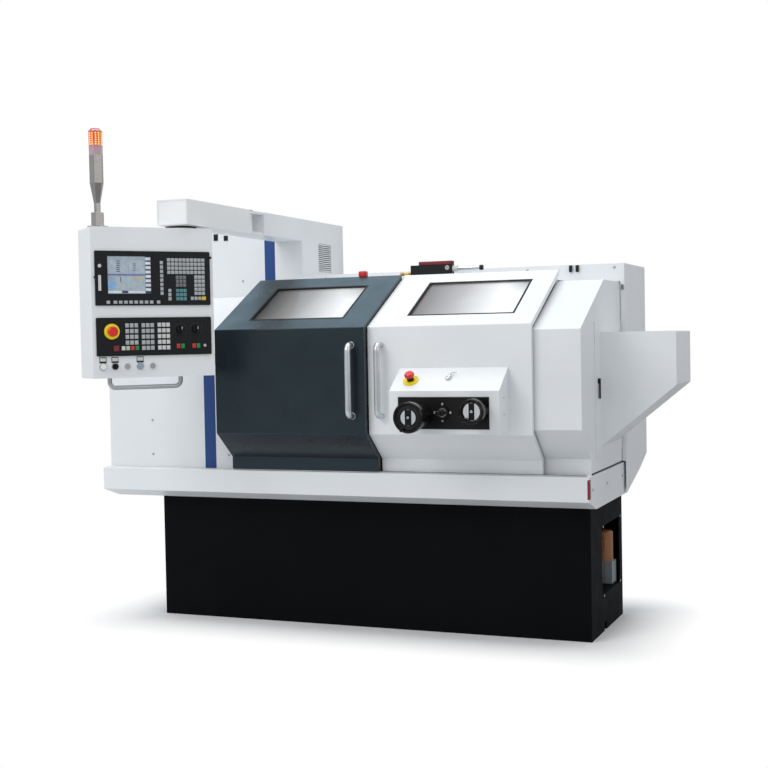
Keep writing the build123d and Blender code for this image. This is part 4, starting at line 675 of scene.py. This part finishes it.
for x, z, width, height in ((-1.023, 1.772, 0.024, 0.033), (-0.966, 1.766, 0.023, 0.026)):
    plug = startBlock("cabinetPlug", (width, 0.003, height), (x, 0.2845, z))
    finishPiece(softenEdges(plug, 0.001), fittingBlack, "machine_frame")
switchPlate = startBlock("switchPlate", (0.09, 0.002, 0.09), (-1.061, 0.7803, 1.56))
finishPiece(softenEdges(switchPlate, 0.0008, 1), signalYellow, "rear_cabinet_door")
print("cabinet fitted")


# boom and knuckle

knuckle = {"x": -0.617, "y": -0.180, "top": 1.840, "radius": 0.045, "height": 0.006}
capPiece = startRound("knuckleCap", knuckle["radius"], knuckle["height"], sides=48,
                      centre=(knuckle["x"], knuckle["y"], knuckle["top"]))
insetAndTaper(capPiece, facesUp, 0.006, 0.002)
finishPiece(softenEdges(capPiece, 0.001), machineGrey, "machine_frame")
armCap = frameRing("armEndSeam", 0.142, 0.105, 0.006, 0.002)
finishPiece(moveMesh(armCap, onFront(knuckle["x"], -0.7995, 1.7875)), coverWhite, "boom_arm")
swivelRing = startRound("swivelRing", 0.064, 0.008, sides=56, centre=(knuckle["x"], -0.733, 1.7235))
finishPiece(softenEdges(swivelRing, 0.0015), fittingBlack, "pendant")
print("boom fitted")


# pendant: everything is set out from the top left corner of the upper panel

pendant = {
    "turn": radians(48.87), "pivotX": -0.617, "pivotY": -0.733, "across": 0.386, "forward": 0.075,
    "top": 1.624, "panelWidth": 0.483, "upperHeight": 0.220, "lowerTop": -0.269, "lowerHeight": 0.155,
    "buttonRow": -0.466, "bay": -0.006,
}
across = Vector((cos(pendant["turn"]), sin(pendant["turn"]), 0))
towards = Vector((sin(pendant["turn"]), -cos(pendant["turn"]), 0))


def onPendant(right, up, out=0.0):
    origin = Vector((pendant["pivotX"], pendant["pivotY"], pendant["top"]))
    origin += across * (right - pendant["across"]) + towards * (pendant["forward"] + out)
    origin.z += up
    return facing(origin, across, towards)


def modelKey(width, height, rise):
    key = startSlab("keyCap", width, height, rise)
    insetAndTaper(key, facesUp, 0.0012, 0.0004)
    return softenEdges(key, 0.0004, 1)


def keyField(name, left, top, columns, rows, pitchX, pitchY, width, height, finish):
    # caps over the moulded keys of a panel, set out as the panel's own fields are
    pattern = modelKey(width + keyCap["over"], height + keyCap["over"], keyCap["rise"])
    caps = []
    for column in range(columns):
        for row in range(rows):
            place = onPendant(left + (column + 0.5) * pitchX, top - (row + 0.5) * pitchY)
            caps.append(placedCopy(pattern, name, place))
    discard(pattern)
    return finishPiece(joined(caps, name), finish, "pendant")


lowerTop = pendant["lowerTop"]
keyCap = {"rise": 0.0031, "over": 0.0006}
# left, top, columns, rows, both pitches, width and height of a key, and its finish
keyFields = {
    "softKeysRight": (0.2665, -0.0374, 1, 8, 0.0170, 0.0178, 0.012, 0.013, keyGrey),
    "recallKey": (0.0425, -0.1990, 1, 1, 0.0170, 0.0160, 0.013, 0.012, keyGrey),
    "softKeysBelow": (0.0696, -0.1990, 8, 1, 0.0214, 0.0160, 0.014, 0.012, keyGrey),
    "nextKey": (0.2506, -0.1990, 1, 1, 0.0170, 0.0160, 0.013, 0.012, keyGrey),
    "letterKeys": (0.2976, -0.0262, 10, 4, 0.0163, 0.0169, 0.013, 0.013, keyGrey),
    "dimKeys": (0.3337, -0.0979, 3, 3, 0.0151, 0.0160, 0.012, 0.013, keyDim),
    "arrowKeys": (0.3337, -0.1519, 3, 3, 0.0156, 0.0168, 0.013, 0.013, keyTeal),
    "selectKeys": (0.3004, -0.1518, 1, 3, 0.0150, 0.0168, 0.012, 0.013, keyGrey),
    "numberKeys": (0.4129, -0.0961, 3, 5, 0.0156, 0.0168, 0.013, 0.013, keyGrey),
    "bottomKeys": (0.3957, -0.1844, 3, 1, 0.0160, 0.0160, 0.012, 0.013, keyGrey),
    "yellowKey": (0.4438, -0.1844, 1, 1, 0.0190, 0.0160, 0.017, 0.014, keyYellow),
    "jogKeys": (0.1160, lowerTop - 0.0202, 3, 4, 0.0189, 0.0232, 0.014, 0.016, keyGrey),
    "modeKeys": (0.1835, lowerTop - 0.0204, 3, 5, 0.0185, 0.0231, 0.014, 0.016, keyGrey),
    "driveKeys": (0.2510, lowerTop - 0.0190, 3, 5, 0.0183, 0.0233, 0.014, 0.016, keyWhite),
    "powerKey": (0.0675, lowerTop - 0.1125, 1, 1, 0.0240, 0.0240, 0.022, 0.022, keyDimRed),
    "plainKey": (0.0990, lowerTop - 0.1158, 1, 1, 0.0190, 0.0160, 0.014, 0.016, keyWhite),
    "paleKey": (0.1180, lowerTop - 0.1158, 1, 1, 0.0190, 0.0160, 0.014, 0.016, keyPaleGreen),
    "stopKey": (0.1370, lowerTop - 0.1158, 1, 1, 0.0190, 0.0160, 0.014, 0.016, keyRed),
    "goKey": (0.1560, lowerTop - 0.1158, 1, 1, 0.0190, 0.0160, 0.014, 0.016, keyGreen),
    "feedStop": (0.3300, lowerTop - 0.1100, 1, 1, 0.0190, 0.0180, 0.014, 0.018, keyRed),
    "feedStart": (0.3490, lowerTop - 0.1100, 1, 1, 0.0190, 0.0180, 0.014, 0.018, keyGreen),
    "speedStop": (0.3970, lowerTop - 0.1100, 1, 1, 0.0190, 0.0180, 0.014, 0.018, keyRed),
    "speedStart": (0.4160, lowerTop - 0.1100, 1, 1, 0.0190, 0.0180, 0.014, 0.018, keyGreen),
}
for name, values in keyFields.items():
    keyField(name, *values)
keySwitch = startRound("keySwitch", 0.0065, 0.005, sides=28)
insetAndSink(keySwitch, facesUp, 0.0025, 0.002)
fitPiece(keySwitch, onPendant(0.453, lowerTop - 0.1185), brightSteel, "pendant", 0.0006)
print("keys set")

# the lit screen with its plain fields of colour
screen = {"left": 0.051, "top": -0.021, "width": 0.180, "height": 0.152, "back": -0.002, "fieldGap": 0.001,
          "markRise": 0.0011, "markPitch": 0.0085}
screenGrey = glowing("screenGrey", shade(150, 163, 178), 0.22)
screenPale = glowing("screenPale", shade(164, 178, 188), 0.2)
screenWhite = glowing("screenWhite", shade(206, 213, 218), 0.22)
screenBlue = glowing("screenBlue", shade(58, 76, 150), 0.3)
screenNavy = glowing("screenNavy", shade(44, 52, 84), 0.2)
screenSky = glowing("screenSky", shade(122, 164, 208), 0.3)
screenAmber = glowing("screenAmber", shade(206, 160, 84), 0.3)
# left, down, width, height and rise of each field, and its colour
fields = [
    ("screenBack", 0.0, 0.0, 0.180, 0.152, 0.0004, screenGrey),
    ("screenHead", 0.002, 0.002, 0.152, 0.008, 0.0007, screenPale),
    ("screenTable", 0.002, 0.014, 0.084, 0.056, 0.0007, screenPale),
    ("screenSideTable", 0.089, 0.014, 0.064, 0.056, 0.0007, screenPale),
    ("screenSoftColumn", 0.156, 0.000, 0.024, 0.152, 0.0007, screenNavy),
    ("screenLine", 0.0, 0.073, 0.154, 0.005, 0.0009, screenBlue),
    ("screenList", 0.002, 0.100, 0.028, 0.034, 0.0007, screenSky),
    ("screenPlot", 0.034, 0.082, 0.120, 0.054, 0.0007, screenPale),
    ("screenMark", 0.110, 0.086, 0.036, 0.006, 0.0009, screenAmber),
    ("screenCursor", 0.052, 0.108, 0.007, 0.005, 0.0009, screenAmber),
    ("screenTool", 0.0515, 0.084, 0.004, 0.022, 0.0009, screenNavy),
    ("screenFoot", 0.002, 0.139, 0.152, 0.011, 0.0007, screenWhite),
    ("screenFootField", 0.058, 0.1395, 0.026, 0.010, 0.0009, screenNavy),
]
for name, left, down, width, height, rise, finish in fields:
    field = startSlab(name, width - screen["fieldGap"], height - screen["fieldGap"], rise)
    place = onPendant(screen["left"] + left + width / 2, screen["top"] - down - height / 2, screen["back"])
    fitPiece(field, place, finish, "pendant", 0.0001)
softLabel = startSlab("softLabel", 0.0215, 0.0115, screen["markRise"])
labels = [placedCopy(softLabel, "screenSoftLabels", onPendant(0.2188, -0.0312 - row * 0.0178, screen["back"]))
          for row in range(8)]
discard(softLabel)
finishPiece(joined(labels, "screenSoftLabels"), screenWhite, "pendant")
ticks = []
for row in range(6):
    down = row * screen["markPitch"]
    bar = startSlab("screenBars", 0.014, 0.0034, screen["markRise"])
    ticks.append(moveMesh(bar, onPendant(0.095, -0.041 - down, screen["back"])))
    if row < 4:
        small = startSlab("screenBars", 0.012, 0.0022, screen["markRise"])
        ticks.append(moveMesh(small, onPendant(0.162, -0.052 - down, screen["back"])))
finishPiece(joined(ticks, "screenBars"), screenNavy, "pendant")
bezelRing = frameRing("screenBezel", 0.190, 0.162, 0.005, 0.0016)
bezelPlace = onPendant(screen["left"] + screen["width"] / 2, screen["top"] - screen["height"] / 2)
fitPiece(bezelRing, bezelPlace, fittingBlack, "pendant", 0.0004)
print("screen lit")

# lock and flap over the sockets at the left of the screen
sockets = {"right": 0.0185, "plateTop": 0.0022, "flapRight": 0.0175, "flapUp": -0.1295, "lockUp": -0.061}
flapPlate = startSlab("socketPlate", 0.024, 0.128, sockets["plateTop"])
fitPiece(flapPlate, onPendant(sockets["right"], -0.108), fittingBlack, "pendant")
flap = startSlab("socketFlap", 0.011, 0.062, 0.0035)
insetAndSink(flap, facesUp, 0.003, 0.001)
fitPiece(flap, onPendant(sockets["flapRight"], sockets["flapUp"], 0.002), keyWhite, "pendant")
lock = startRound("socketLock", 0.0070, 0.004, sides=28)
insetAndSink(lock, facesUp, 0.004, 0.002)
fitPiece(lock, onPendant(sockets["right"], sockets["lockUp"], 0.002), keyWhite, "pendant")

# panel screws, edge clips and the screws at the back of the housing
panelScrew = {"inX": 0.006, "inZ": 0.012}
panelScrews = []
for top, height in ((0.0, pendant["upperHeight"]), (lowerTop, pendant["lowerHeight"])):
    for right in (panelScrew["inX"], pendant["panelWidth"] - panelScrew["inX"]):
        for up in (top - panelScrew["inZ"], top - height + panelScrew["inZ"]):
            panelScrews.append(onPendant(right, up))
screwsAt("panelScrews", panelScrews, "pendant", fittingBlack, scale=0.7)
edgeClips = [moveMesh(startSlab("panelClip", 0.007, 0.009, 0.009), onPendant(right, up))
             for right, up in ((-0.002, -0.107), (0.485, -0.024))]
finishPiece(softenEdges(joined(edgeClips, "panelClips"), 0.0015), fittingBlack, "pendant")
housingScrews = [onPendant(right, up, -0.198) @ Matrix.Rotation(pi, 4, "Y")
                 for right in (0.0, pendant["panelWidth"]) for up in (0.08, -0.2, -0.49)]
screwsAt("housingScrews", housingScrews, "pendant", scale=1.2)

# collars and dials of the lower panel
dial = {"down": 0.051, "skirt": 0.0224, "pointerOut": 0.02115, "marks": 17, "start": -130, "sweep": 260}
collar = openTube("estopCollar", 0.0316, 0.0122, 0.00808)
fitPiece(collar, onPendant(0.062, lowerTop - 0.056), signalYellow, "pendant", 0.0012, 2)
for name, right, body in (("feedScale", 0.350, "feed_dial"), ("speedScale", 0.418, "speed_dial")):
    marks = []
    for step in range(dial["marks"]):
        length = 0.003 if step % 4 == 0 else 0.002
        mark = startBlock(name, (0.0008, length, 0.0004), (0, dial["skirt"] + 0.0018 + length / 2, 0.0002))
        turn = radians(dial["start"] + step * dial["sweep"] / (dial["marks"] - 1))
        moveMesh(mark, Matrix.Rotation(turn, 4, "Z"))
        marks.append(moveMesh(mark, onPendant(right, lowerTop - dial["down"])))
    finishPiece(joined(marks, name), keyDim, "pendant")
    pointer = startBlock(f"{name}Pointer", (0.0016, 0.011, 0.0008), (0, 0.0065, 0.0004))
    moveMesh(pointer, onPendant(right, lowerTop - dial["down"], dial["pointerOut"]))
    finishPiece(pointer, printWhite, body)

# push buttons: bare label carriers over them, plugs in the empty holes and bright rings round them
buttonRow, bay = pendant["buttonRow"], pendant["bay"]
buttonRights = (0.025, 0.074, 0.178)
for right in buttonRights:
    carrier = startSlab("buttonCarrier", 0.029, 0.024, 0.0016)
    fitPiece(carrier, onPendant(right, buttonRow + 0.0265, bay), fittingBlack, "pendant")
    bare = startSlab("bareLabel", 0.024, 0.014, 0.0008)
    finishPiece(moveMesh(bare, onPendant(right, buttonRow + 0.0285, bay + 0.0016)), keyWhite, "pendant")
for right in (0.124, 0.229):
    blank = startRound("blankPlug", 0.0118, 0.0028, sides=40)
    insetAndTaper(blank, facesUp, 0.003, 0.0008)
    fitPiece(blank, onPendant(right, buttonRow, bay + 0.004), blankGrey, "pendant", 0.0006)
for right in buttonRights:
    ring = openTube("bezelRing", 0.0154, 0.0112, 0.0041)
    fitPiece(ring, onPendant(right, buttonRow, bay), brightSteel, "pendant", 0.0006)
print("pendant fitted")

# lights in the head of the signal lamp, and its bright cap
lamp = {"right": 0.033, "up": 0.097, "back": -0.062, "apothem": 0.0247, "low": 0.334, "pitch": 0.0088,
        "rows": 6, "columns": (-0.0062, 0.0062), "capLow": 0.3855, "capRadius": 0.0291, "capHeight": 0.0045}
lampCentre = onPendant(lamp["right"], lamp["up"], lamp["back"]).translation
led = startRound("led", 0.0033, 0.0012, sides=12)
leds = []
for side in range(6):
    angle = pendant["turn"] + radians(30 + side * 60)
    normal = Vector((cos(angle), sin(angle), 0))
    along = Vector((-sin(angle), cos(angle), 0))
    for row in range(lamp["rows"]):
        for column in lamp["columns"]:
            origin = lampCentre + normal * lamp["apothem"] + along * column
            origin.z += lamp["low"] + row * lamp["pitch"]
            leds.append(placedCopy(led, "lampLeds", facing(origin, along, normal)))
discard(led)
finishPiece(joined(leds, "lampLeds"), ledGlow, "pendant")
cap = startRound("lampCap", lamp["capRadius"], lamp["capHeight"], sides=6)
moveMesh(cap, Matrix.Rotation(pendant["turn"] - pi / 2, 4, "Z"))
moveMesh(cap, Matrix.Translation(lampCentre + Vector((0, 0, lamp["capLow"]))))
finishPiece(softenEdges(cap, 0.001, 1), brightSteel, "pendant")
print("lamp lit")


# control box on the light door

box = {"right": 0.730, "front": -0.646, "edge": 1.040, "back": -0.521, "top": 1.128,
       "estopX": 0.345, "estopUp": 0.43, "hookX": 0.500, "hookUp": 0.52}
boxCrease = (box["front"], box["edge"])
boxTop = (box["back"], box["top"])
boxSlope = hypot(boxTop[0] - boxCrease[0], boxTop[1] - boxCrease[1])


def onBoxSlope(x, share, out=0.0):
    return slopePlace(x, boxCrease, boxTop, share * boxSlope, out)


yellowBase = startRound("boxEstopBase", 0.0316, 0.0056, sides=56)
insetAndSink(yellowBase, facesUp, 0.020, 0.0005)
fitPiece(yellowBase, onBoxSlope(box["estopX"], box["estopUp"]), signalYellow, "light_sliding_door", 0.0012, 2)
sleeve = openTube("boxEstopSleeve", 0.0138, 0.0120, 0.0138)
moveMesh(sleeve, onBoxSlope(box["estopX"], box["estopUp"], 0.0057))
finishPiece(sleeve, fittingBlack, "light_sliding_door")
hookPlace = onBoxSlope(box["hookX"], box["hookUp"])
hookBase = startRound("hookBase", 0.011, 0.006, sides=36)
insetAndTaper(hookBase, facesUp, 0.003, 0.002)
fitPiece(hookBase, hookPlace, brightSteel, "light_sliding_door")
hookBar = startBlock("hookBar", (0.009, 0.030, 0.004), (0.006, 0.006, 0.010))


def bendUp():
    bpy.ops.mesh.extrude_region_move(TRANSFORM_OT_translate={"value": (0.010, 0.008, 0)})
    bpy.ops.mesh.extrude_region_move(TRANSFORM_OT_translate={"value": (0.012, -0.002, 0)})


editFaces(hookBar, lambda face: face.normal.y > 0.9, bendUp)
fitPiece(hookBar, hookPlace, brightSteel, "light_sliding_door", 0.001)
plateScrews = [onFront(x, -0.650, z) for x in (0.317, 0.682) for z in (0.896, 1.009)]
screwsAt("plateScrews", plateScrews, "light_sliding_door", fittingBlack, scale=0.9)
boxScrews = [onRight(box["right"], -0.585, z) for z in (0.944, 1.009)]
screwsAt("boxScrews", boxScrews, "light_sliding_door", blankGrey, scale=0.55)
print("control box fitted")

# graduated rings behind the handwheels, and the bright steel face of each wheel with a dark bar across it, a
# painted dark band of the face's reflection, and a screw
wheels = {
    "z": {"x": 0.408, "z": 0.943, "front": -0.768, "radius": 0.049, "length": 0.016,
          "face": -0.7945, "disc": 0.031, "bar": 0.0266},
    "x": {"x": 0.644, "z": 0.963, "front": -0.702, "radius": 0.036, "length": 0.018,
          "face": -0.7295, "disc": 0.034, "bar": 0.023},
}
dialMark = {"count": 50, "long": 0.008, "short": 0.005, "from": 0.002}
for name, wheel in wheels.items():
    ring = startRound(f"{name}Dial", wheel["radius"], wheel["length"], sides=72)
    insetAndSink(ring, facesUp, 0.004, 0.001)
    place = onFront(wheel["x"], wheel["front"] + wheel["length"] + 0.002, wheel["z"])
    fitPiece(ring, place, spunSteel, "light_sliding_door", 0.001)
    marks = []
    for step in range(dialMark["count"]):
        length = dialMark["long"] if step % 5 == 0 else dialMark["short"]
        mark = startBlock("dialMarks", (0.0007, 0.0006, length),
                          (0, wheel["radius"] + 0.0001, length / 2 + dialMark["from"]))
        moveMesh(mark, Matrix.Rotation(step * 2 * pi / dialMark["count"], 4, "Z"))
        marks.append(moveMesh(mark, place))
    finishPiece(joined(marks, f"{name}DialMarks"), fittingBlack, "light_sliding_door")
print("dials fitted")
for name, wheel in wheels.items():
    body = f"{name}_wheel"
    disc = startRound(f"{name}WheelFace", wheel["disc"], 0.0012, sides=72)
    moveMesh(disc, onFront(wheel["x"], wheel["face"] + 0.0012, wheel["z"]))
    finishPiece(disc, faceSteel, body)
    # painted reflection: the dark bar across the bright face stands in for the dark band between the two
    # bright sides of its reflection
    bar = startSlab(f"{name}WheelReflectionBand", wheel["bar"], 2 * wheel["disc"] - 0.002, 0.0022)
    fitPiece(bar, onFront(wheel["x"], wheel["face"] + 0.0004, wheel["z"]), wheelBlack, body)
    screwsAt(f"{name}WheelScrew", [onFront(wheel["x"], wheel["face"] - 0.0016, wheel["z"])], body)
print("wheel faces fitted")

# bellows round the foot of the joystick, and the screws of its socket
joystick = {"x": 0.499, "z": 0.955, "foot": -0.6664, "plate": -0.653, "fold": 0.003,
            "radii": (0.0134, 0.0126, 0.0114, 0.0098), "screwCircle": 0.033}
bellowsRings = []
for step, radius in enumerate(joystick["radii"]):
    ring = startRound("joystickBellows", radius, joystick["fold"], sides=40,
                      centre=(0, 0, step * joystick["fold"]))
    bellowsRings.append(softenEdges(ring, 0.0011))
bellows = joined(bellowsRings, "joystickBellows")
moveMesh(bellows, onFront(joystick["x"], joystick["foot"], joystick["z"]))
finishPiece(bellows, rubberBlack, "joystick")
joystickScrews = []
for angle in (0, pi / 2, pi, 3 * pi / 2):
    x = joystick["x"] + joystick["screwCircle"] * cos(angle)
    z = joystick["z"] + joystick["screwCircle"] * sin(angle)
    joystickScrews.append(onFront(x, joystick["plate"], z))
screwsAt("joystickScrews", joystickScrews, "light_sliding_door", scale=0.9)
print("joystick fitted")


# door lock on the roof, with its bolt and cable gland, and the sensor on the dark door

doorLock = {"y": 0.080, "front": 0.060, "length": 0.154, "width": 0.043, "middle": 0.221, "coverLow": 1.5788,
            "coverHigh": 1.5938, "boltLevel": 1.559, "glandLevel": 1.543, "discX": 0.279, "discZ": 1.563}
redStrip = startBlock("interlockStrip",
                      (doorLock["length"], doorLock["width"], doorLock["coverHigh"] - doorLock["coverLow"]),
                      (doorLock["middle"], doorLock["y"], (doorLock["coverLow"] + doorLock["coverHigh"]) / 2))
finishPiece(softenEdges(redStrip, 0.0012), darkRed, "machine_frame")
disc = startRound("interlockDisc", 0.0105, 0.003, sides=36)
insetAndSink(disc, facesUp, 0.003, 0.001)
discPlace = onFront(doorLock["discX"], doorLock["front"], doorLock["discZ"])
fitPiece(disc, discPlace, brightSteel, "machine_frame", 0.0005)


def alongX(name, start, length, radius, level, sides=32):
    # a round piece of the lock that lies along the machine
    piece = startRound(name, radius, length, sides)
    return moveMesh(piece, facing((start, doorLock["y"], level), (0, 1, 0), (1, 0, 0)))


boltPieces = (("boltSleeve", 0.2991, 0.0240, 0.0137, keyWhite),
              ("boltRod", 0.3232, 0.1026, 0.0096, brightSteel),
              ("boltEnd", 0.4259, 0.0146, 0.0116, fittingBlack))
for name, start, length, radius, finish in boltPieces:
    piece = alongX(name, start, length, radius, doorLock["boltLevel"])
    finishPiece(softenEdges(piece, 0.0008, 1), finish, "machine_frame")
glandPieces = (("glandNut", 0.088, 0.0138, 0.0092, 6), ("glandNeck", 0.062, 0.026, 0.0058, 28),
               ("glandCap", 0.047, 0.015, 0.0072, 6))
for name, start, length, radius, sides in glandPieces:
    piece = alongX(name, start, length, radius, doorLock["glandLevel"], sides)
    finishPiece(softenEdges(piece, 0.0006, 1), brassTurned, "machine_frame")
redBlock = startBlock("doorSensor", (0.034, 0.030, 0.022), (-0.063, -0.098, 1.5395))
insetAndTaper(redBlock, facesUp, 0.006, 0.003)
finishPiece(softenEdges(redBlock, 0.002), signalRed, "dark_sliding_door")
print("door fittings placed")


# camera at the photograph's viewing angle

cameraValues = {
    "focal": 1317.96, "frame": 768, "sensor": 36.0, "farEnd": 60, "place": (2.24048, -5.53072, 1.24667),
    "yaw": radians(22.1686), "pitch": radians(-1.9359), "roll": radians(-1.0981),
}


def placeCamera():
    data = bpy.data.cameras.new("photoCamera")
    camera = bpy.data.objects.new("photoCamera", data)
    bpy.context.collection.objects.link(camera)
    data.sensor_width = cameraValues["sensor"]
    data.sensor_fit = "HORIZONTAL"
    data.lens = cameraValues["focal"] / cameraValues["frame"] * cameraValues["sensor"]
    data.clip_end = cameraValues["farEnd"]
    yaw, pitch, roll = cameraValues["yaw"], cameraValues["pitch"], cameraValues["roll"]
    ahead = Vector((-sin(yaw) * cos(pitch), cos(yaw) * cos(pitch), sin(pitch)))
    right = Vector((cos(yaw), sin(yaw), 0))
    up = right.cross(ahead)
    rolledRight = cos(roll) * right + sin(roll) * up
    rolledUp = -sin(roll) * right + cos(roll) * up
    turned = Matrix((rolledRight, rolledUp, -ahead)).transposed().to_4x4()
    turned.translation = Vector(cameraValues["place"])
    camera.matrix_world = turned
    bpy.context.scene.camera = camera


placeCamera()


# pale floor and soft light

studio = {
    "floorSize": 60, "worldStrength": 0.6,
    "baseHalf": (1.0, 0.36, 0), "shadowReach": 0.02, "paleReach": 0.34,
    "bounce": 0.9, "endBounce": 0.5, "bounceFrom": 0.8, "bounceTo": 1.25,
    "lights": {
        "keyLight": ((-2.5, -5.0, 4.6), (0, 0, 1.0), (3.5, 2.5), 112, (1, 1, 1)),
        "fillLight": ((5.5, -2.5, 3.2), (0.5, 0, 0.9), (2.5, 2.5), 26, (1, 1, 1)),
        "topLight": ((0.0, -0.6, 5.5), (0, 0, 1.0), (5.0, 3.0), 96, (1, 1, 1)),
        "skyLight": ((-2.4, 2.8, 5.2), (-0.2, -0.3, 1.4), (4.5, 3.0), 48, (0.5, 0.8, 1.0)),
    },
}


def paleSurface(name, colour):
    finish, shader = newFinish(name)
    nodes, links = finish.node_tree.nodes, finish.node_tree.links
    cameraRay = nodes.new("ShaderNodeLightPath").outputs["Is Camera Ray"]
    speckle = noisePattern(finish, 3, 4)
    painted = ramp(finish, speckle, [(0.3, darker(colour, 0.985)), (0.7, colour)])
    # the light that the floor sends back is weaker, most of all beyond the end of the machine
    share = spread(finish, objectAxes(finish)["X"], studio["bounce"], studio["endBounce"],
                   studio["bounceFrom"], studio["bounceTo"])
    returned = vectorResult(finish, "MULTIPLY", colour[:3], share)
    links.new(mixedColour(finish, cameraRay, returned, painted), shader.inputs["Base Color"])
    shader.inputs["Roughness"].default_value = 0.8
    # away from the base the floor goes over into the white background, and close to it keeps the shadow
    beside = vectorResult(finish, "ABSOLUTE", objectPoint(finish))
    beside = vectorResult(finish, "SUBTRACT", beside, studio["baseHalf"])
    distance = vectorResult(finish, "LENGTH", vectorResult(finish, "MAXIMUM", beside, (0, 0, 0)))
    away = spread(finish, distance, 0, 1, studio["shadowReach"], studio["paleReach"])
    mix = nodes.new("ShaderNodeMixShader")
    links.new(mathResult(finish, "MULTIPLY", cameraRay, away), mix.inputs["Fac"])
    links.new(shader.outputs[0], mix.inputs[1])
    links.new(nodes.new("ShaderNodeEmission").outputs[0], mix.inputs[2])
    links.new(mix.outputs[0], nodes["Material Output"].inputs["Surface"])
    return finish


def layFloor():
    deselectAll()
    bpy.ops.mesh.primitive_plane_add(size=studio["floorSize"], location=(0, 0, -0.0005))
    floor = bpy.context.active_object
    floor.name = "studioFloor"
    floor.data.materials.append(paleSurface("floorPaint", shade(243, 243, 243)))


def softLight(name, place, aim, size, power, colour):
    data = bpy.data.lights.new(name, "AREA")
    data.shape = "RECTANGLE"
    data.size, data.size_y = size
    data.energy = power
    data.color = colour
    light = bpy.data.objects.new(name, data)
    bpy.context.collection.objects.link(light)
    light.location = place
    light.rotation_euler = (Vector(aim) - Vector(place)).to_track_quat("-Z", "Y").to_euler()


def lightWorld():
    # the camera sees white, and the machine gets the softer surround
    world = bpy.data.worlds.new("studioWorld")
    bpy.context.scene.world = world
    world.use_nodes = True
    nodes, links = world.node_tree.nodes, world.node_tree.links
    surround = nodes["Background"]
    surround.inputs["Color"].default_value = (0.95, 0.97, 1, 1)
    surround.inputs["Strength"].default_value = studio["worldStrength"]
    seen = nodes.new("ShaderNodeBackground")
    seen.inputs["Color"].default_value = (1, 1, 1, 1)
    seen.inputs["Strength"].default_value = 1.0
    path = nodes.new("ShaderNodeLightPath")
    mix = nodes.new("ShaderNodeMixShader")
    links.new(path.outputs["Is Camera Ray"], mix.inputs["Fac"])
    links.new(surround.outputs[0], mix.inputs[1])
    links.new(seen.outputs[0], mix.inputs[2])
    links.new(mix.outputs[0], nodes["World Output"].inputs["Surface"])


layFloor()
for name, values in studio["lights"].items():
    softLight(name, *values)
lightWorld()
bpy.context.scene.view_settings.view_transform = "Standard"
print("camera, floor and light ready")
